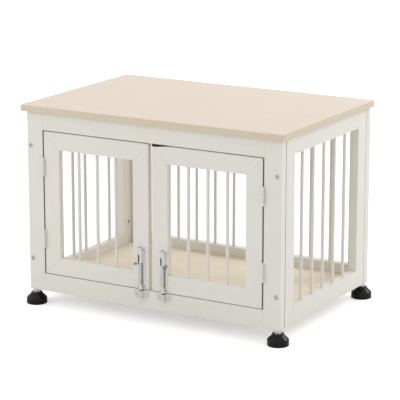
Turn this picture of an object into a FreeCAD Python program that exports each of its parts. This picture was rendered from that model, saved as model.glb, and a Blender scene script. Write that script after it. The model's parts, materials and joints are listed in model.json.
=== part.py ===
"""End table with a slatted dog crate under its top.

Millimetres, +Z up, origin on the floor under the middle of the case, +X to the
right and +Y to the back. The case is four mortised frames bolted together, with
round bars between their rails, two mitred doors on butt hinges, a tower bolt on
each door and four levelling feet.
"""
import FreeCAD
import Part
import os
import re
import Sketcher
from FreeCAD import Placement, Rotation, Vector

DOC = FreeCAD.newDocument("CrateEndTable")

SIZES = {
    # case and top
    "carcass_width": (680, "outer width of the case"),
    "carcass_depth": (456, "outer depth of the case"),
    "total_height": (490, "floor to the tabletop's face"),
    "foot_height": (37, "floor to the case's underside"),
    "top_thickness": (16, "tabletop"),
    "top_side_overhang": (10, "tabletop past each side"),
    "top_front_overhang": (14, "tabletop past the front"),
    "top_corner_radius": (3, "tabletop corners in plan"),
    "top_edge_round": (2, "rounding along the tabletop's edges"),
    # framed panels
    "frame_thickness": (22, "front and back frames"),
    "side_thickness": (20, "side panels"),
    "member_width": (43, "stiles and rails of the case"),
    "tenon_length": (12, "stub tenon, out of the rail's end"),
    "tenon_height": (30, "stub tenon across the rail"),
    "tenon_thickness": (8, "stub tenon through the board"),
    "mortise_spare": (0.5, "room past the tenon's end"),
    "seam_width": (2, "groove down the corner, where a side panel meets a frame"),
    "seam_depth": (4, "the same groove, into the panel"),
    # bars
    "bar_diameter": (8, "round bars"),
    "bar_fit": (0.05, "radial room in a bar's hole"),
    "bar_seat": (12, "depth of the blind holes"),
    "bar_end_room": (0.5, "room over a bar's upper end"),
    "back_bar_count": (10, "bars in the back frame"),
    "side_bar_count": (5, "bars in each side panel"),
    "door_bar_count": (3, "bars in each door"),
    # floor
    "floor_thickness": (9, "floor panel"),
    "floor_gap": (0.5, "floor panel to the frames"),
    "cleat_height": (10, "cleats under the floor"),
    "cleat_width": (18, "cleats, out from the frames"),
    # doors
    "door_thickness": (16, "doors"),
    "door_member": (42, "mitred door members"),
    "hinge_gap": (4, "door to stile, filled by the hinge leaves"),
    "meeting_gap": (10, "between the two doors"),
    "door_top_gap": (2.5, "door to top rail"),
    "door_bottom_gap": (2, "door to bottom rail"),
    # hinges
    "hinge_length": (44, "hinge leaves"),
    "hinge_spread": (176, "between the centres of a door's two hinges"),
    "hinge_barrel_radius": (4, "knuckles"),
    "hinge_pin_radius": (2, "pin"),
    "hinge_pin_fit": (0.05, "radial room round the pin"),
    "pin_head_radius": (3.2, "pin heads"),
    "pin_head_height": (1, "pin heads"),
    "knuckle_count": (5, "knuckles in a hinge, an odd number"),
    "knuckle_gap": (0.2, "between neighbouring knuckles"),
    "barrel_room": (0.3, "barrel to the face of the door"),
    "leaf_thickness": (1.6, "hinge leaves"),
    "frame_leaf_width": (20, "leaf on the stile"),
    "hinge_screw_spread": (26, "between a leaf's two screws"),
    # screws
    "screw_radius": (1.4, "shank of the wood screws"),
    "screw_head_radius": (2.7, "countersunk heads"),
    "screw_head_depth": (1.3, "countersunk heads"),
    "screw_length": (14, "countersunk screws overall"),
    "round_head_radius": (2.2, "round heads"),
    "round_head_height": (1.3, "round heads"),
    "round_screw_length": (11, "round-head screws under the head"),
    "screw_tip": (2, "pointed end"),
    "screw_fit": (0.05, "radial room round fasteners"),
    # tower bolts
    "left_rod_inset": (19, "rod from the left door's meeting edge"),
    "right_rod_inset": (31.5, "rod from the right door's meeting edge"),
    "rod_radius": (3, "sliding rod"),
    "rod_fit": (0.08, "radial room in the bolt's guides"),
    "rod_offset": (5.6, "rod's axis out from the door"),
    "rod_length": (85.5, "sliding rod"),
    "rod_tip_chamfer": (0.8, "rod's ends"),
    "rod_tip_lift": (0.5, "rod's tip over the keeper"),
    "bolt_plate_width": (21, "bolt plate"),
    "bolt_plate_height": (100, "bolt plate"),
    "bolt_plate_thickness": (1.2, "bolt plate"),
    "bolt_plate_lift": (1, "plate over the door's lower edge"),
    "plate_corner_radius": (2, "bolt plate's corners"),
    "barrel_radius": (5.5, "bolt barrel and guide"),
    "barrel_height": (36.5, "upper barrel"),
    "guide_height": (11, "lower guide"),
    "slot_width": (6, "slot that the knob's stem rises in"),
    "slot_height": (20, "slot up from the barrel's foot"),
    "slot_angle": (240, "slot's direction about the rod, in degrees from +X"),
    "plate_screw_x": (7.8, "plate screws from the rod's axis"),
    "plate_screw_end": (5.5, "plate screws from the plate's ends"),
    "stem_radius": (2, "knob's stem"),
    "stem_drop": (0.5, "stem under the barrel"),
    "knob_radius": (3, "knob's ball"),
    "knob_reach": (12.5, "ball's centre from the rod's axis"),
    "left_knob_angle": (205, "left knob, in degrees from +X"),
    "right_knob_angle": (335, "right knob, in degrees from +X"),
    "stem_fit": (0.05, "stem's foot round the rod"),
    # keepers and catch
    "keeper_width": (38, "keeper plate"),
    "keeper_height": (17, "keeper"),
    "keeper_drop": (1, "keeper under the bottom rail's upper edge"),
    "keeper_bore_room": (0.35, "radial room for the rod in the keeper"),
    "keeper_screw_x": (14.5, "keeper screws from the bore"),
    "catch_width": (42, "door catch"),
    "catch_depth": (20, "catch plate, front to back"),
    "catch_thickness": (1.5, "catch plate"),
    "catch_front_inset": (3, "catch plate behind the case's front"),
    "catch_leg_drop": (18, "leg under the plate"),
    "catch_leg_thickness": (2, "leg"),
    "catch_door_gap": (0.3, "leg to the door's back"),
    "catch_screw_inset": (9, "catch screws from its ends"),
    "catch_screw_depth": (9, "catch screws from its front"),
    "catch_lip_thickness": (2.5, "tapered lip along the catch's front"),
    "catch_lip_room": (1, "lip over the relief in the door"),
    "relief_depth": (5, "relief in the right door's top corner, for the lip"),
    # frame bolts
    "bolt_radius": (3, "frame bolts"),
    "bolt_length": (50, "frame bolts under the head"),
    "bolt_head_radius": (5, "socket heads"),
    "bolt_head_height": (6, "socket heads"),
    "bolt_sink": (0.2, "heads under the frame's face"),
    "bolt_socket_flats": (5, "hexagon socket"),
    "bolt_socket_depth": (3, "hexagon socket"),
    "bolt_room": (0.3, "radial room round the bolts"),
    "counterbore_room": (0.5, "radial room round the heads"),
    "bolt_end": (77, "frame bolts from the case's lower end"),
    "bolt_top": (83, "frame bolts from the case's upper end"),
    "nut_radius": (5, "barrel nuts"),
    "nut_length": (14, "barrel nuts"),
    "nut_inset": (21, "barrel nuts behind the side stile's end"),
    # levelling feet
    "foot_side_inset": (10, "foot's axis from the case's side"),
    "stud_radius": (4, "levelling stud"),
    "stud_fit": (0.08, "radial room in insert and pad"),
    "stud_rise": (25, "stud inside the case at rest"),
    "stud_hole_room": (3, "hole past the stud's end"),
    "insert_radius": (6, "threaded insert"),
    "insert_length": (15, "threaded insert"),
    "hex_flats": (17, "hexagon across its flats"),
    "hex_gap": (0.3, "hexagon to the case and to the pad"),
    "pad_radius": (25, "pad's rim"),
    "pad_sole_round": (1.5, "rounding under the rim"),
    "pad_rim_height": (14.5, "pad's rim"),
    "pad_shoulder_round": (6, "rounding over the rim"),
    "pad_cone_height": (25, "top of the cone"),
    "pad_collar_radius": (13.8, "pad's collar"),
    "pad_height": (28, "top of the collar"),
    "pad_bore_depth": (10, "stud's socket in the pad"),
    # brackets under the top
    "bracket_leg": (24, "angle bracket's legs"),
    "bracket_width": (20, "angle bracket"),
    "bracket_thickness": (2, "angle bracket"),
    "bracket_spread": (200, "between a side's two brackets"),
}

# Places that several pieces share, worked out from the sizes.
RIGHT = "(carcass_width / 2)"
LEFT = "(-carcass_width / 2)"
FRONT = "(-carcass_depth / 2)"
BACK = "(carcass_depth / 2)"
CASE_HEIGHT = "(total_height - top_thickness - foot_height)"
CASE_TOP = "(total_height - top_thickness)"
OPENING_WIDTH = "(carcass_width - 2 * member_width)"
OPENING_RIGHT = f"({OPENING_WIDTH} / 2)"
OPENING_HEIGHT = f"({CASE_HEIGHT} - 2 * member_width)"
SIDE_LENGTH = "(carcass_depth - 2 * frame_thickness)"
SIDE_OPENING = f"({SIDE_LENGTH} - 2 * member_width)"
SIDE_RAIL_START = f"({FRONT} + frame_thickness + member_width)"
INNER_RIGHT = f"({RIGHT} - side_thickness)"
BAR_HOLE = "(bar_diameter / 2 + bar_fit)"
TOP_SEAT = "(bar_seat + bar_end_room)"

DOOR_WIDTH = f"({OPENING_RIGHT} - hinge_gap - meeting_gap / 2)"
DOOR_HEIGHT = f"({OPENING_HEIGHT} - door_top_gap - door_bottom_gap)"
DOOR_BOTTOM = "(foot_height + member_width + door_bottom_gap)"
DOOR_TOP = f"({DOOR_BOTTOM} + {DOOR_HEIGHT})"
DOOR_OUTER = f"({OPENING_RIGHT} - hinge_gap)"
DOOR_WINDOW_WIDTH = f"({DOOR_WIDTH} - 2 * door_member)"
DOOR_WINDOW_HEIGHT = f"({DOOR_HEIGHT} - 2 * door_member)"
DOOR_MIDDLE = f"({DOOR_BOTTOM} + {DOOR_HEIGHT} / 2)"

HINGE_X = f"({OPENING_RIGHT} - hinge_gap / 2)"
HINGE_LEAD = "(hinge_barrel_radius + barrel_room)"
HINGE_Y = f"({FRONT} - {HINGE_LEAD})"
HINGE_ENDS = (f"({DOOR_MIDDLE} - hinge_spread / 2)", f"({DOOR_MIDDLE} + hinge_spread / 2)")
KNUCKLE_PITCH = "(hinge_length / knuckle_count)"
LEAF_INNER = "(hinge_gap / 2 - leaf_thickness)"
PIN_BORE = "(hinge_pin_radius + hinge_pin_fit)"
SCREW_HOLE = "(screw_radius + screw_fit)"

PLATE_BOTTOM = f"({DOOR_BOTTOM} + bolt_plate_lift)"
BARREL_BOTTOM = "(bolt_plate_height - barrel_height)"
PLATE_SCREW_ENDS = ("plate_screw_end", "(bolt_plate_height - plate_screw_end)")
KEEPER_TOP = "(foot_height + member_width - keeper_drop)"
KEEPER_BOTTOM = f"({KEEPER_TOP} - keeper_height)"
ROD_BOTTOM = f"({KEEPER_TOP} + rod_tip_lift)"
ROD_Y = f"({FRONT} - rod_offset)"
LEFT_ROD_X = "(-meeting_gap / 2 - left_rod_inset)"
RIGHT_ROD_X = "(meeting_gap / 2 + right_rod_inset)"
KNOB_Z = f"({PLATE_BOTTOM} + {BARREL_BOTTOM} - stem_drop - stem_radius)"

BOLT_X = f"({RIGHT} - side_thickness / 2)"
BOLT_HEIGHTS = ("bolt_end", f"({CASE_HEIGHT} - bolt_top)")
NUT_Y = f"({BACK} - frame_thickness - nut_inset)"
BRACKET_STEPS = ("(-bracket_spread / 2)", "(bracket_spread / 2)")
CATCH_X = "(meeting_gap / 2)"
CATCH_SCREW_STEPS = ("catch_screw_inset", "(catch_width - catch_screw_inset)")
CATCH_Z = f"({CASE_TOP} - member_width)"
KEEPER_MIDDLE = f"({KEEPER_BOTTOM} + keeper_height / 2)"
LEG_MIDDLE = f"({CASE_TOP} - bracket_leg / 2)"
FOOT_X = f"({RIGHT} - foot_side_inset)"
FOOT_Y = f"({BACK} - frame_thickness / 2)"

X, Y, Z = Vector(1, 0, 0), Vector(0, 1, 0), Vector(0, 0, 1)
UPRIGHT = Rotation()
TO_RIGHT = Rotation(Y, 90)
TO_LEFT = Rotation(Y, -90)
TO_BACK = Rotation(X, -90)
TO_FRONT = Rotation(X, 90)
DOWN = Rotation(X, 180)
ALONG_SIDE = Rotation(Z, 90)
HALF_TURN = Rotation(Z, 180)
END_FOR_END = Rotation(Y, 180)

NODES = []


def fill_sheet():
    """The driving sizes, one alias each."""
    sheet = DOC.addObject("Spreadsheet::Sheet", "Sizes")
    for row, (name, (value, note)) in enumerate(SIZES.items(), start=1):
        sheet.set(f"A{row}", name)
        sheet.set(f"B{row}", str(value))
        sheet.setAlias(f"B{row}", name)
        sheet.set(f"C{row}", note)
    DOC.recompute()
    return sheet


SHEET = fill_sheet()


def named(text):
    """The expression with the sheet's name before each of its sizes."""
    return re.sub(r"[a-z_]+", lambda word: f"Sizes.{word[0]}" if word[0] in SIZES else word[0], text)


def number(text):
    """An expression's present value."""
    return float(SHEET.evalExpression(named(text)))


def bind(target, **expressions):
    """Tie properties to the sheet; x, y and z are the parts of the Placement."""
    for name, text in expressions.items():
        path = f"Placement.Base.{name}" if name in "xyz" else name
        target.setExpression(path, named(text))


def put(target, at, turn=UPRIGHT):
    """Place an object by three expressions and a rotation."""
    target.Placement = Placement(Vector(), turn)
    bind(target, x=at[0], y=at[1], z=at[2])


def node(made):
    """Keep a finished sub-part, which its Label names."""
    NODES.append(made)
    return made


def new_body(label, at=("0", "0", "0"), turn=UPRIGHT):
    """An empty body at its place."""
    body = DOC.addObject("PartDesign::Body", label)
    body.Label = label
    body.AllowCompound = True
    put(body, at, turn)
    return body


def feature(body, form, name, at, turn, cut):
    """A primitive that adds to the body or cuts it."""
    kind = "Subtractive" if cut else "Additive"
    made = body.newObject(f"PartDesign::{kind}{form}", name)
    put(made, at, turn)
    return made


def block(body, name, size, at=("0", "0", "0"), turn=UPRIGHT, cut=False):
    made = feature(body, "Box", name, at, turn, cut)
    bind(made, Length=size[0], Width=size[1], Height=size[2])
    return made


def cylinder(body, name, radius, height, at=("0", "0", "0"), turn=UPRIGHT, cut=False):
    made = feature(body, "Cylinder", name, at, turn, cut)
    bind(made, Radius=radius, Height=height)
    return made


def bore(body, name, radius, depth, at, turn=UPRIGHT):
    """A round hole from a point, along the turned Z axis."""
    return cylinder(body, name, radius, depth, at, turn, cut=True)


def row(body, original, role, length, count):
    """Repeat a feature evenly along one of the body's own axes."""
    axis = next(item for item in body.Origin.OriginFeatures if item.Role == role)
    pattern = body.newObject("PartDesign::LinearPattern", f"{original.Name}Row")
    pattern.Originals = [original]
    pattern.Direction = (axis, [""])
    bind(pattern, Length=length, Occurrences=count)
    body.Tip = pattern
    return pattern


def profile(body, name, role, points):
    """A closed outline whose corners are tied to the sheet."""
    plane = next(item for item in body.Origin.OriginFeatures if item.Role == role)
    sketch = body.newObject("Sketcher::SketchObject", name)
    sketch.AttachmentSupport = [(plane, "")]
    sketch.MapMode = "FlatFace"
    corners = [Vector(number(across), number(up), 0) for across, up in points]
    for index, corner in enumerate(corners):
        following = corners[(index + 1) % len(corners)]
        sketch.addGeometry(Part.LineSegment(corner, following), False)
    for index in range(len(corners)):
        sketch.addConstraint(Sketcher.Constraint("Coincident", index, 2, (index + 1) % len(corners), 1))
    for index, (across, up) in enumerate(points):
        pin_corner(sketch, index, "DistanceX", across, corners[index].x, -2)
        pin_corner(sketch, index, "DistanceY", up, corners[index].y, -1)
    return sketch


def pin_corner(sketch, index, kind, text, value, axis):
    """Hold one coordinate of a corner, on the axis or at a distance."""
    if text == "0":
        sketch.addConstraint(Sketcher.Constraint("PointOnObject", index, 1, axis))
        return
    constraint = sketch.addConstraint(Sketcher.Constraint(kind, -1, 1, index, 1, value))
    title = f"{kind}{index}"
    sketch.renameConstraint(constraint, title)
    sketch.setExpression(f"Constraints.{title}", named(text))


def turned(body, name, points):
    """A solid of revolution about the body's Z axis, from (radius, height) corners."""
    sketch = profile(body, f"{name}Profile", "XZ_Plane", points)
    revolution = body.newObject("PartDesign::Revolution", name)
    revolution.Profile = sketch
    revolution.ReferenceAxis = (sketch, ["V_Axis"])
    revolution.Angle = 360
    return revolution


def rounded(body, base, radius, chosen):
    """Round the edges of a feature that pass the test."""
    DOC.recompute()
    names = [f"Edge{index}" for index, edge in enumerate(base.Shape.Edges, start=1) if chosen(edge)]
    fillet = body.newObject("PartDesign::Fillet", f"{base.Name}Round")
    fillet.Base = (base, names)
    bind(fillet, Radius=radius)
    return fillet


def runs_along(direction):
    """Test for straight edges along an axis."""
    def chosen(edge):
        if edge.Curve.TypeId != "Part::GeomLine":
            return False
        return edge.Curve.Direction.cross(direction).Length < 1e-6
    return chosen


def circle(radius, height):
    """Test for the circular edge of a turned piece with this radius at this height."""
    def chosen(edge):
        if edge.Curve.TypeId != "Part::GeomCircle":
            return False
        return abs(edge.Curve.Radius - number(radius)) + abs(edge.Curve.Center.z - number(height)) < 1e-6
    return chosen


def group(label, members):
    """Several separate solids that share one node."""
    compound = DOC.addObject("Part::Compound", label)
    compound.Label = label
    compound.Links = members
    return node(compound)


def copy_of(master, at, turn=UPRIGHT):
    """The same piece again at another place."""
    link = DOC.addObject("App::Link", f"{master.Name}Copy")
    link.LinkedObject = master
    put(link, at, turn)
    return link


# ---------------------------------------------------------------- case frames

def board(label, length_x, thickness, height, at, turn=UPRIGHT):
    """A plain board: X across, Y through its thickness, Z up."""
    body = node(new_body(label, at, turn))
    block(body, "Board", (length_x, thickness, height))
    return body


def stile(label, thickness, at, inner_is_plus_x, turn=UPRIGHT):
    """An upright with the two rails' mortises in its inner edge."""
    body = board(label, "member_width", thickness, CASE_HEIGHT, at, turn)
    depth = "(tenon_length + mortise_spare)"
    start = f"(member_width - {depth})" if inner_is_plus_x else "0"
    rise = "((member_width - tenon_height) / 2)"
    for height in (rise, f"({CASE_HEIGHT} - member_width + {rise})"):
        size = (depth, "tenon_thickness", "tenon_height")
        block(body, "Mortise", size, (start, f"(({thickness} - tenon_thickness) / 2)", height), cut=True)
    return body


def rail(label, length, thickness, at, turn=UPRIGHT):
    """A cross member with a stub tenon on each end."""
    body = board(label, length, thickness, "member_width", at, turn)
    inset = f"(({thickness} - tenon_thickness) / 2)"
    rise = "((member_width - tenon_height) / 2)"
    for start in ("(-tenon_length)", length):
        block(body, "Tenon", ("tenon_length", "tenon_thickness", "tenon_height"), (start, inset, rise))
    return body


def bar_holes(body, length, thickness, count, from_top):
    """Blind holes for the bars, down from a bottom rail or up into a top rail."""
    pitch = f"({length} / ({count} + 1))"
    if from_top:
        place, turn, depth = (pitch, f"({thickness} / 2)", "member_width"), DOWN, "bar_seat"
    else:
        place, turn, depth = (pitch, f"({thickness} / 2)", "0"), UPRIGHT, TOP_SEAT
    hole = bore(body, "BarHole", BAR_HOLE, depth, place, turn)
    row(body, hole, "X_Axis", f"({pitch} * ({count} - 1))", count)


def bars(label, at, window_width, window_height, count, turn=UPRIGHT):
    """A row of round bars, seated in the bottom rail's holes."""
    body = node(new_body(label, at, turn))
    pitch = f"({window_width} / ({count} + 1))"
    length = f"({window_height} + 2 * bar_seat)"
    bar = cylinder(body, "Bar", "bar_diameter / 2", length, (pitch, "0", "(-bar_seat)"))
    row(body, bar, "X_Axis", f"({pitch} * ({count} - 1))", count)
    return body


def foot_hole(body, across):
    """Hole for the levelling foot's insert and stud in a stile's lower end."""
    middle = "(frame_thickness / 2)"
    bore(body, "InsertHole", "(insert_radius + screw_fit)", "insert_length", (across, middle, "0"))
    bore(body, "StudHole", "(stud_radius + screw_fit + bolt_room)", "(stud_rise + stud_hole_room)",
         (across, middle, "0"))


def bolt_holes(body, across, face, turn):
    """Counterbored holes for the frame bolts, drilled from the frame's outer face."""
    for height in BOLT_HEIGHTS:
        bore(body, "BoltHole", "(bolt_radius + bolt_room)", "frame_thickness", (across, face, height), turn)
        bore(body, "Counterbore", "(bolt_head_radius + counterbore_room)",
             "(bolt_head_height + bolt_sink)", (across, face, height), turn)


def front_and_back_frames():
    """The face frame round the doors and the barred back frame."""
    for place, start_y, face, turn in (("front", FRONT, "0", TO_BACK),
                                       ("back", f"({BACK} - frame_thickness)", "frame_thickness", TO_FRONT)):
        left = stile(f"{place}_left_stile", "frame_thickness", (LEFT, start_y, "foot_height"), True)
        right = stile(f"{place}_right_stile", "frame_thickness",
                      (OPENING_RIGHT, start_y, "foot_height"), False)
        for body, foot, bolt in (
                (left, "foot_side_inset", "(side_thickness / 2)"),
                (right, "(member_width - foot_side_inset)", "(member_width - side_thickness / 2)")):
            foot_hole(body, foot)
            bolt_holes(body, bolt, face, turn)
        start_x = f"(-{OPENING_RIGHT})"
        low = rail(f"{place}_bottom_rail", OPENING_WIDTH, "frame_thickness", (start_x, start_y, "foot_height"))
        high = rail(f"{place}_top_rail", OPENING_WIDTH, "frame_thickness",
                    (start_x, start_y, f"({CASE_TOP} - member_width)"))
        if place == "front":
            hinge_screw_holes(left, "member_width", TO_LEFT)
            hinge_screw_holes(right, "0", TO_RIGHT)
            keeper_screw_holes(low)
            catch_screw_holes(high)
        else:
            bar_holes(low, OPENING_WIDTH, "frame_thickness", "back_bar_count", True)
            bar_holes(high, OPENING_WIDTH, "frame_thickness", "back_bar_count", False)
            at = (start_x, f"({start_y} + frame_thickness / 2)", "(foot_height + member_width)")
            bars("back_bars", at, OPENING_WIDTH, OPENING_HEIGHT, "back_bar_count")


def hinge_screw_holes(body, edge, turn):
    """Pilot holes for both frame leaves in a front stile's inner edge."""
    for centre in HINGE_ENDS:
        for step in ("(-hinge_screw_spread / 2)", "(hinge_screw_spread / 2)"):
            height = f"({centre} + {step} - foot_height)"
            bore(body, "HingeScrewHole", SCREW_HOLE, "screw_length", (edge, "(frame_leaf_width / 2)", height),
                 turn)


def keeper_screw_holes(body):
    """Pilot holes for the two keepers in the front bottom rail."""
    for rod_x in (LEFT_ROD_X, RIGHT_ROD_X):
        for step in ("(-keeper_screw_x)", "keeper_screw_x"):
            at = (f"({OPENING_RIGHT} + {rod_x} + {step})", "0",
                  f"({KEEPER_BOTTOM} + keeper_height / 2 - foot_height)")
            bore(body, "KeeperScrewHole", SCREW_HOLE, "(round_screw_length + screw_tip)", at, TO_BACK)


def catch_screw_holes(body):
    """Pilot holes for the door catch in the front top rail's underside."""
    for step in CATCH_SCREW_STEPS:
        at = (f"({OPENING_RIGHT} + {CATCH_X} + {step})", "(catch_front_inset + catch_screw_depth)", "0")
        bore(body, "CatchScrewHole", SCREW_HOLE, "screw_length", at)


def side_panel(side):
    """A barred side panel between the front and back frames."""
    outer = RIGHT if side == "right" else f"({LEFT} + side_thickness)"
    nut_face = "side_thickness" if side == "right" else "0"
    nut_turn = TO_FRONT if side == "right" else TO_BACK
    front_y = f"({FRONT} + frame_thickness)"
    back_y = f"({BACK} - frame_thickness - member_width)"
    front = stile(f"{side}_side_front_stile", "side_thickness", (outer, front_y, "foot_height"), True,
                  ALONG_SIDE)
    back = stile(f"{side}_side_back_stile", "side_thickness", (outer, back_y, "foot_height"), False,
                 ALONG_SIDE)
    middle = "(side_thickness / 2)"
    nut_depth = f"({middle} + nut_length / 2)"
    for body, end, turn, nut_x in ((front, "0", TO_RIGHT, "nut_inset"),
                                   (back, "member_width", TO_LEFT, "(member_width - nut_inset)")):
        for height in BOLT_HEIGHTS:
            reach = "(bolt_length + bolt_head_height + bolt_sink + mortise_spare - frame_thickness)"
            bore(body, "BoltHole", "(bolt_radius + bolt_room)", reach, (end, middle, height), turn)
            bore(body, "NutHole", "(nut_radius + screw_fit)", nut_depth, (nut_x, nut_face, height), nut_turn)
    low = rail(f"{side}_side_bottom_rail", SIDE_OPENING, "side_thickness",
               (outer, SIDE_RAIL_START, "foot_height"), ALONG_SIDE)
    high = rail(f"{side}_side_top_rail", SIDE_OPENING, "side_thickness",
                (outer, SIDE_RAIL_START, f"({CASE_TOP} - member_width)"), ALONG_SIDE)
    bar_holes(low, SIDE_OPENING, "side_thickness", "side_bar_count", True)
    bar_holes(high, SIDE_OPENING, "side_thickness", "side_bar_count", False)
    bracket_screw_holes(high, nut_face, nut_turn)
    groove_face = "0" if side == "right" else "(side_thickness - seam_depth)"
    for body, start in ((front, "0"), (back, "(member_width - seam_width)")):
        block(body, "SeamGroove", ("seam_width", "seam_depth", CASE_HEIGHT), (start, groove_face, "0"), cut=True)
    axis_x = f"({outer} - side_thickness / 2)"
    bars(f"{side}_side_bars", (axis_x, SIDE_RAIL_START, "(foot_height + member_width)"), SIDE_OPENING,
         OPENING_HEIGHT, "side_bar_count", ALONG_SIDE)


def bracket_screw_holes(body, face, turn):
    """Pilot holes for the brackets in a side top rail's inner face."""
    for step in BRACKET_STEPS:
        at = (f"({SIDE_OPENING} / 2 + {step})", face, "(member_width - bracket_leg / 2)")
        bore(body, "BracketScrewHole", SCREW_HOLE, "(round_screw_length + screw_tip)", at, turn)


# ------------------------------------------------------------- top and floor

def tabletop():
    """The overhanging top, flush with the case at the back."""
    width = "(carcass_width + 2 * top_side_overhang)"
    depth = "(carcass_depth + top_front_overhang)"
    at = (f"({LEFT} - top_side_overhang)", f"({FRONT} - top_front_overhang)", CASE_TOP)
    body = node(new_body("tabletop", at))
    outline = profile(body, "TopOutline", "XY_Plane", [("0", "0"), (width, "0"), (width, depth), ("0", depth)])
    slab = body.newObject("PartDesign::Pad", "Slab")
    slab.Profile = outline
    bind(slab, Length="top_thickness")
    corners = rounded(body, slab, "top_corner_radius", runs_along(Z))
    edges = rounded(body, corners, "top_edge_round", lambda edge: abs(edge.tangentAt(edge.FirstParameter).z) < 0.5)
    body.Tip = edges
    for side in ("-", ""):
        for step in BRACKET_STEPS:
            across = f"(carcass_width / 2 + top_side_overhang + {side}({INNER_RIGHT} - bracket_leg / 2))"
            at = (across, f"(top_front_overhang + carcass_depth / 2 + {step})", "0")
            bore(body, "BracketScrewHole", SCREW_HOLE, "(round_screw_length + screw_tip)", at)


def floor():
    """The loose floor panel and the cleats that carry it."""
    width = f"(2 * {INNER_RIGHT})"
    panel_at = (f"(-{INNER_RIGHT} + floor_gap)", f"(-{SIDE_LENGTH} / 2 + floor_gap)",
                "(foot_height + cleat_height)")
    panel = node(new_body("floor_panel", panel_at))
    block(panel, "Panel", (f"({width} - 2 * floor_gap)", f"({SIDE_LENGTH} - 2 * floor_gap)", "floor_thickness"))
    cleats = []
    for name, size, at in (
            ("FrontCleat", (width, "cleat_width"), (f"(-{INNER_RIGHT})", f"(-{SIDE_LENGTH} / 2)")),
            ("BackCleat", (width, "cleat_width"), (f"(-{INNER_RIGHT})", f"({SIDE_LENGTH} / 2 - cleat_width)")),
            ("LeftCleat", ("cleat_width", f"({SIDE_LENGTH} - 2 * cleat_width)"),
             (f"(-{INNER_RIGHT})", f"(-{SIDE_LENGTH} / 2 + cleat_width)")),
            ("RightCleat", ("cleat_width", f"({SIDE_LENGTH} - 2 * cleat_width)"),
             (f"({INNER_RIGHT} - cleat_width)", f"(-{SIDE_LENGTH} / 2 + cleat_width)"))):
        cleat = DOC.addObject("Part::Box", name)
        bind(cleat, Length=size[0], Width=size[1], Height="cleat_height", x=at[0], y=at[1], z="foot_height")
        cleats.append(cleat)
    group("floor_cleats", cleats)


# ----------------------------------------------------------------- fasteners

def countersunk_screw():
    """Wood screw, its head's face at Z = 0 and its shank along +Z."""
    body = new_body("CountersunkScrew")
    turned(body, "Screw", [("0", "0"), ("screw_head_radius", "0"), ("screw_radius", "screw_head_depth"),
                           ("screw_radius", "(screw_length - screw_tip)"), ("0", "screw_length")])
    return body


def round_screw():
    """Round-head screw, its crown at Z = 0 and its shank along +Z."""
    body = new_body("RoundHeadScrew")
    seat = "round_head_height"
    end = f"({seat} + round_screw_length)"
    turned(body, "Screw", [("0", "0"), ("(round_head_radius / 2)", "0"),
                           ("round_head_radius", f"({seat} * 2 / 3)"), ("round_head_radius", seat),
                           ("screw_radius", seat), ("screw_radius", f"({end} - screw_tip)"), ("0", end)])
    return body


def frame_bolt():
    """Socket-head bolt, the top of its head at Z = 0 and its shank along +Z."""
    body = new_body("FrameBolt")
    end = "(bolt_head_height + bolt_length)"
    turned(body, "Bolt", [("0", "0"), ("bolt_head_radius", "0"), ("bolt_head_radius", "bolt_head_height"),
                          ("bolt_radius", "bolt_head_height"), ("bolt_radius", end), ("0", end)])
    socket = feature(body, "Prism", "Socket", ("0", "0", "0"), UPRIGHT, True)
    socket.Polygon = 6
    bind(socket, Circumradius="(bolt_socket_flats / sqrt(3))", Height="bolt_socket_depth")
    return body


def barrel_nut():
    """Barrel nut along X with its threaded cross hole along Y through its middle."""
    body = new_body("BarrelNut")
    cylinder(body, "Nut", "nut_radius", "nut_length", ("(-nut_length / 2)", "0", "0"), TO_RIGHT)
    bore(body, "Thread", "(bolt_radius + screw_fit)", "(2 * nut_radius)", ("0", "(-nut_radius)", "0"), TO_BACK)
    return body


def foot_insert():
    """Threaded sleeve for the levelling stud, from Z = 0 up."""
    body = new_body("FootInsert")
    cylinder(body, "Sleeve", "insert_radius", "insert_length")
    bore(body, "Thread", "(stud_radius + stud_fit)", "insert_length", ("0", "0", "0"))
    return body


def angle_bracket():
    """Bracket with its corner at the origin, one leg along +X and one down."""
    body = new_body("AngleBracket")
    half = "(-bracket_width / 2)"
    block(body, "TopLeg", ("bracket_leg", "bracket_width", "bracket_thickness"),
          ("0", half, "(-bracket_thickness)"))
    block(body, "SideLeg", ("bracket_thickness", "bracket_width", "bracket_leg"),
          ("0", half, "(-bracket_leg)"))
    middle = "(bracket_leg / 2)"
    bore(body, "TopHole", SCREW_HOLE, "bracket_thickness", (middle, "0", "(-bracket_thickness)"))
    bore(body, "SideHole", SCREW_HOLE, "bracket_thickness", ("0", "0", f"(-{middle})"), TO_RIGHT)
    return body


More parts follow.
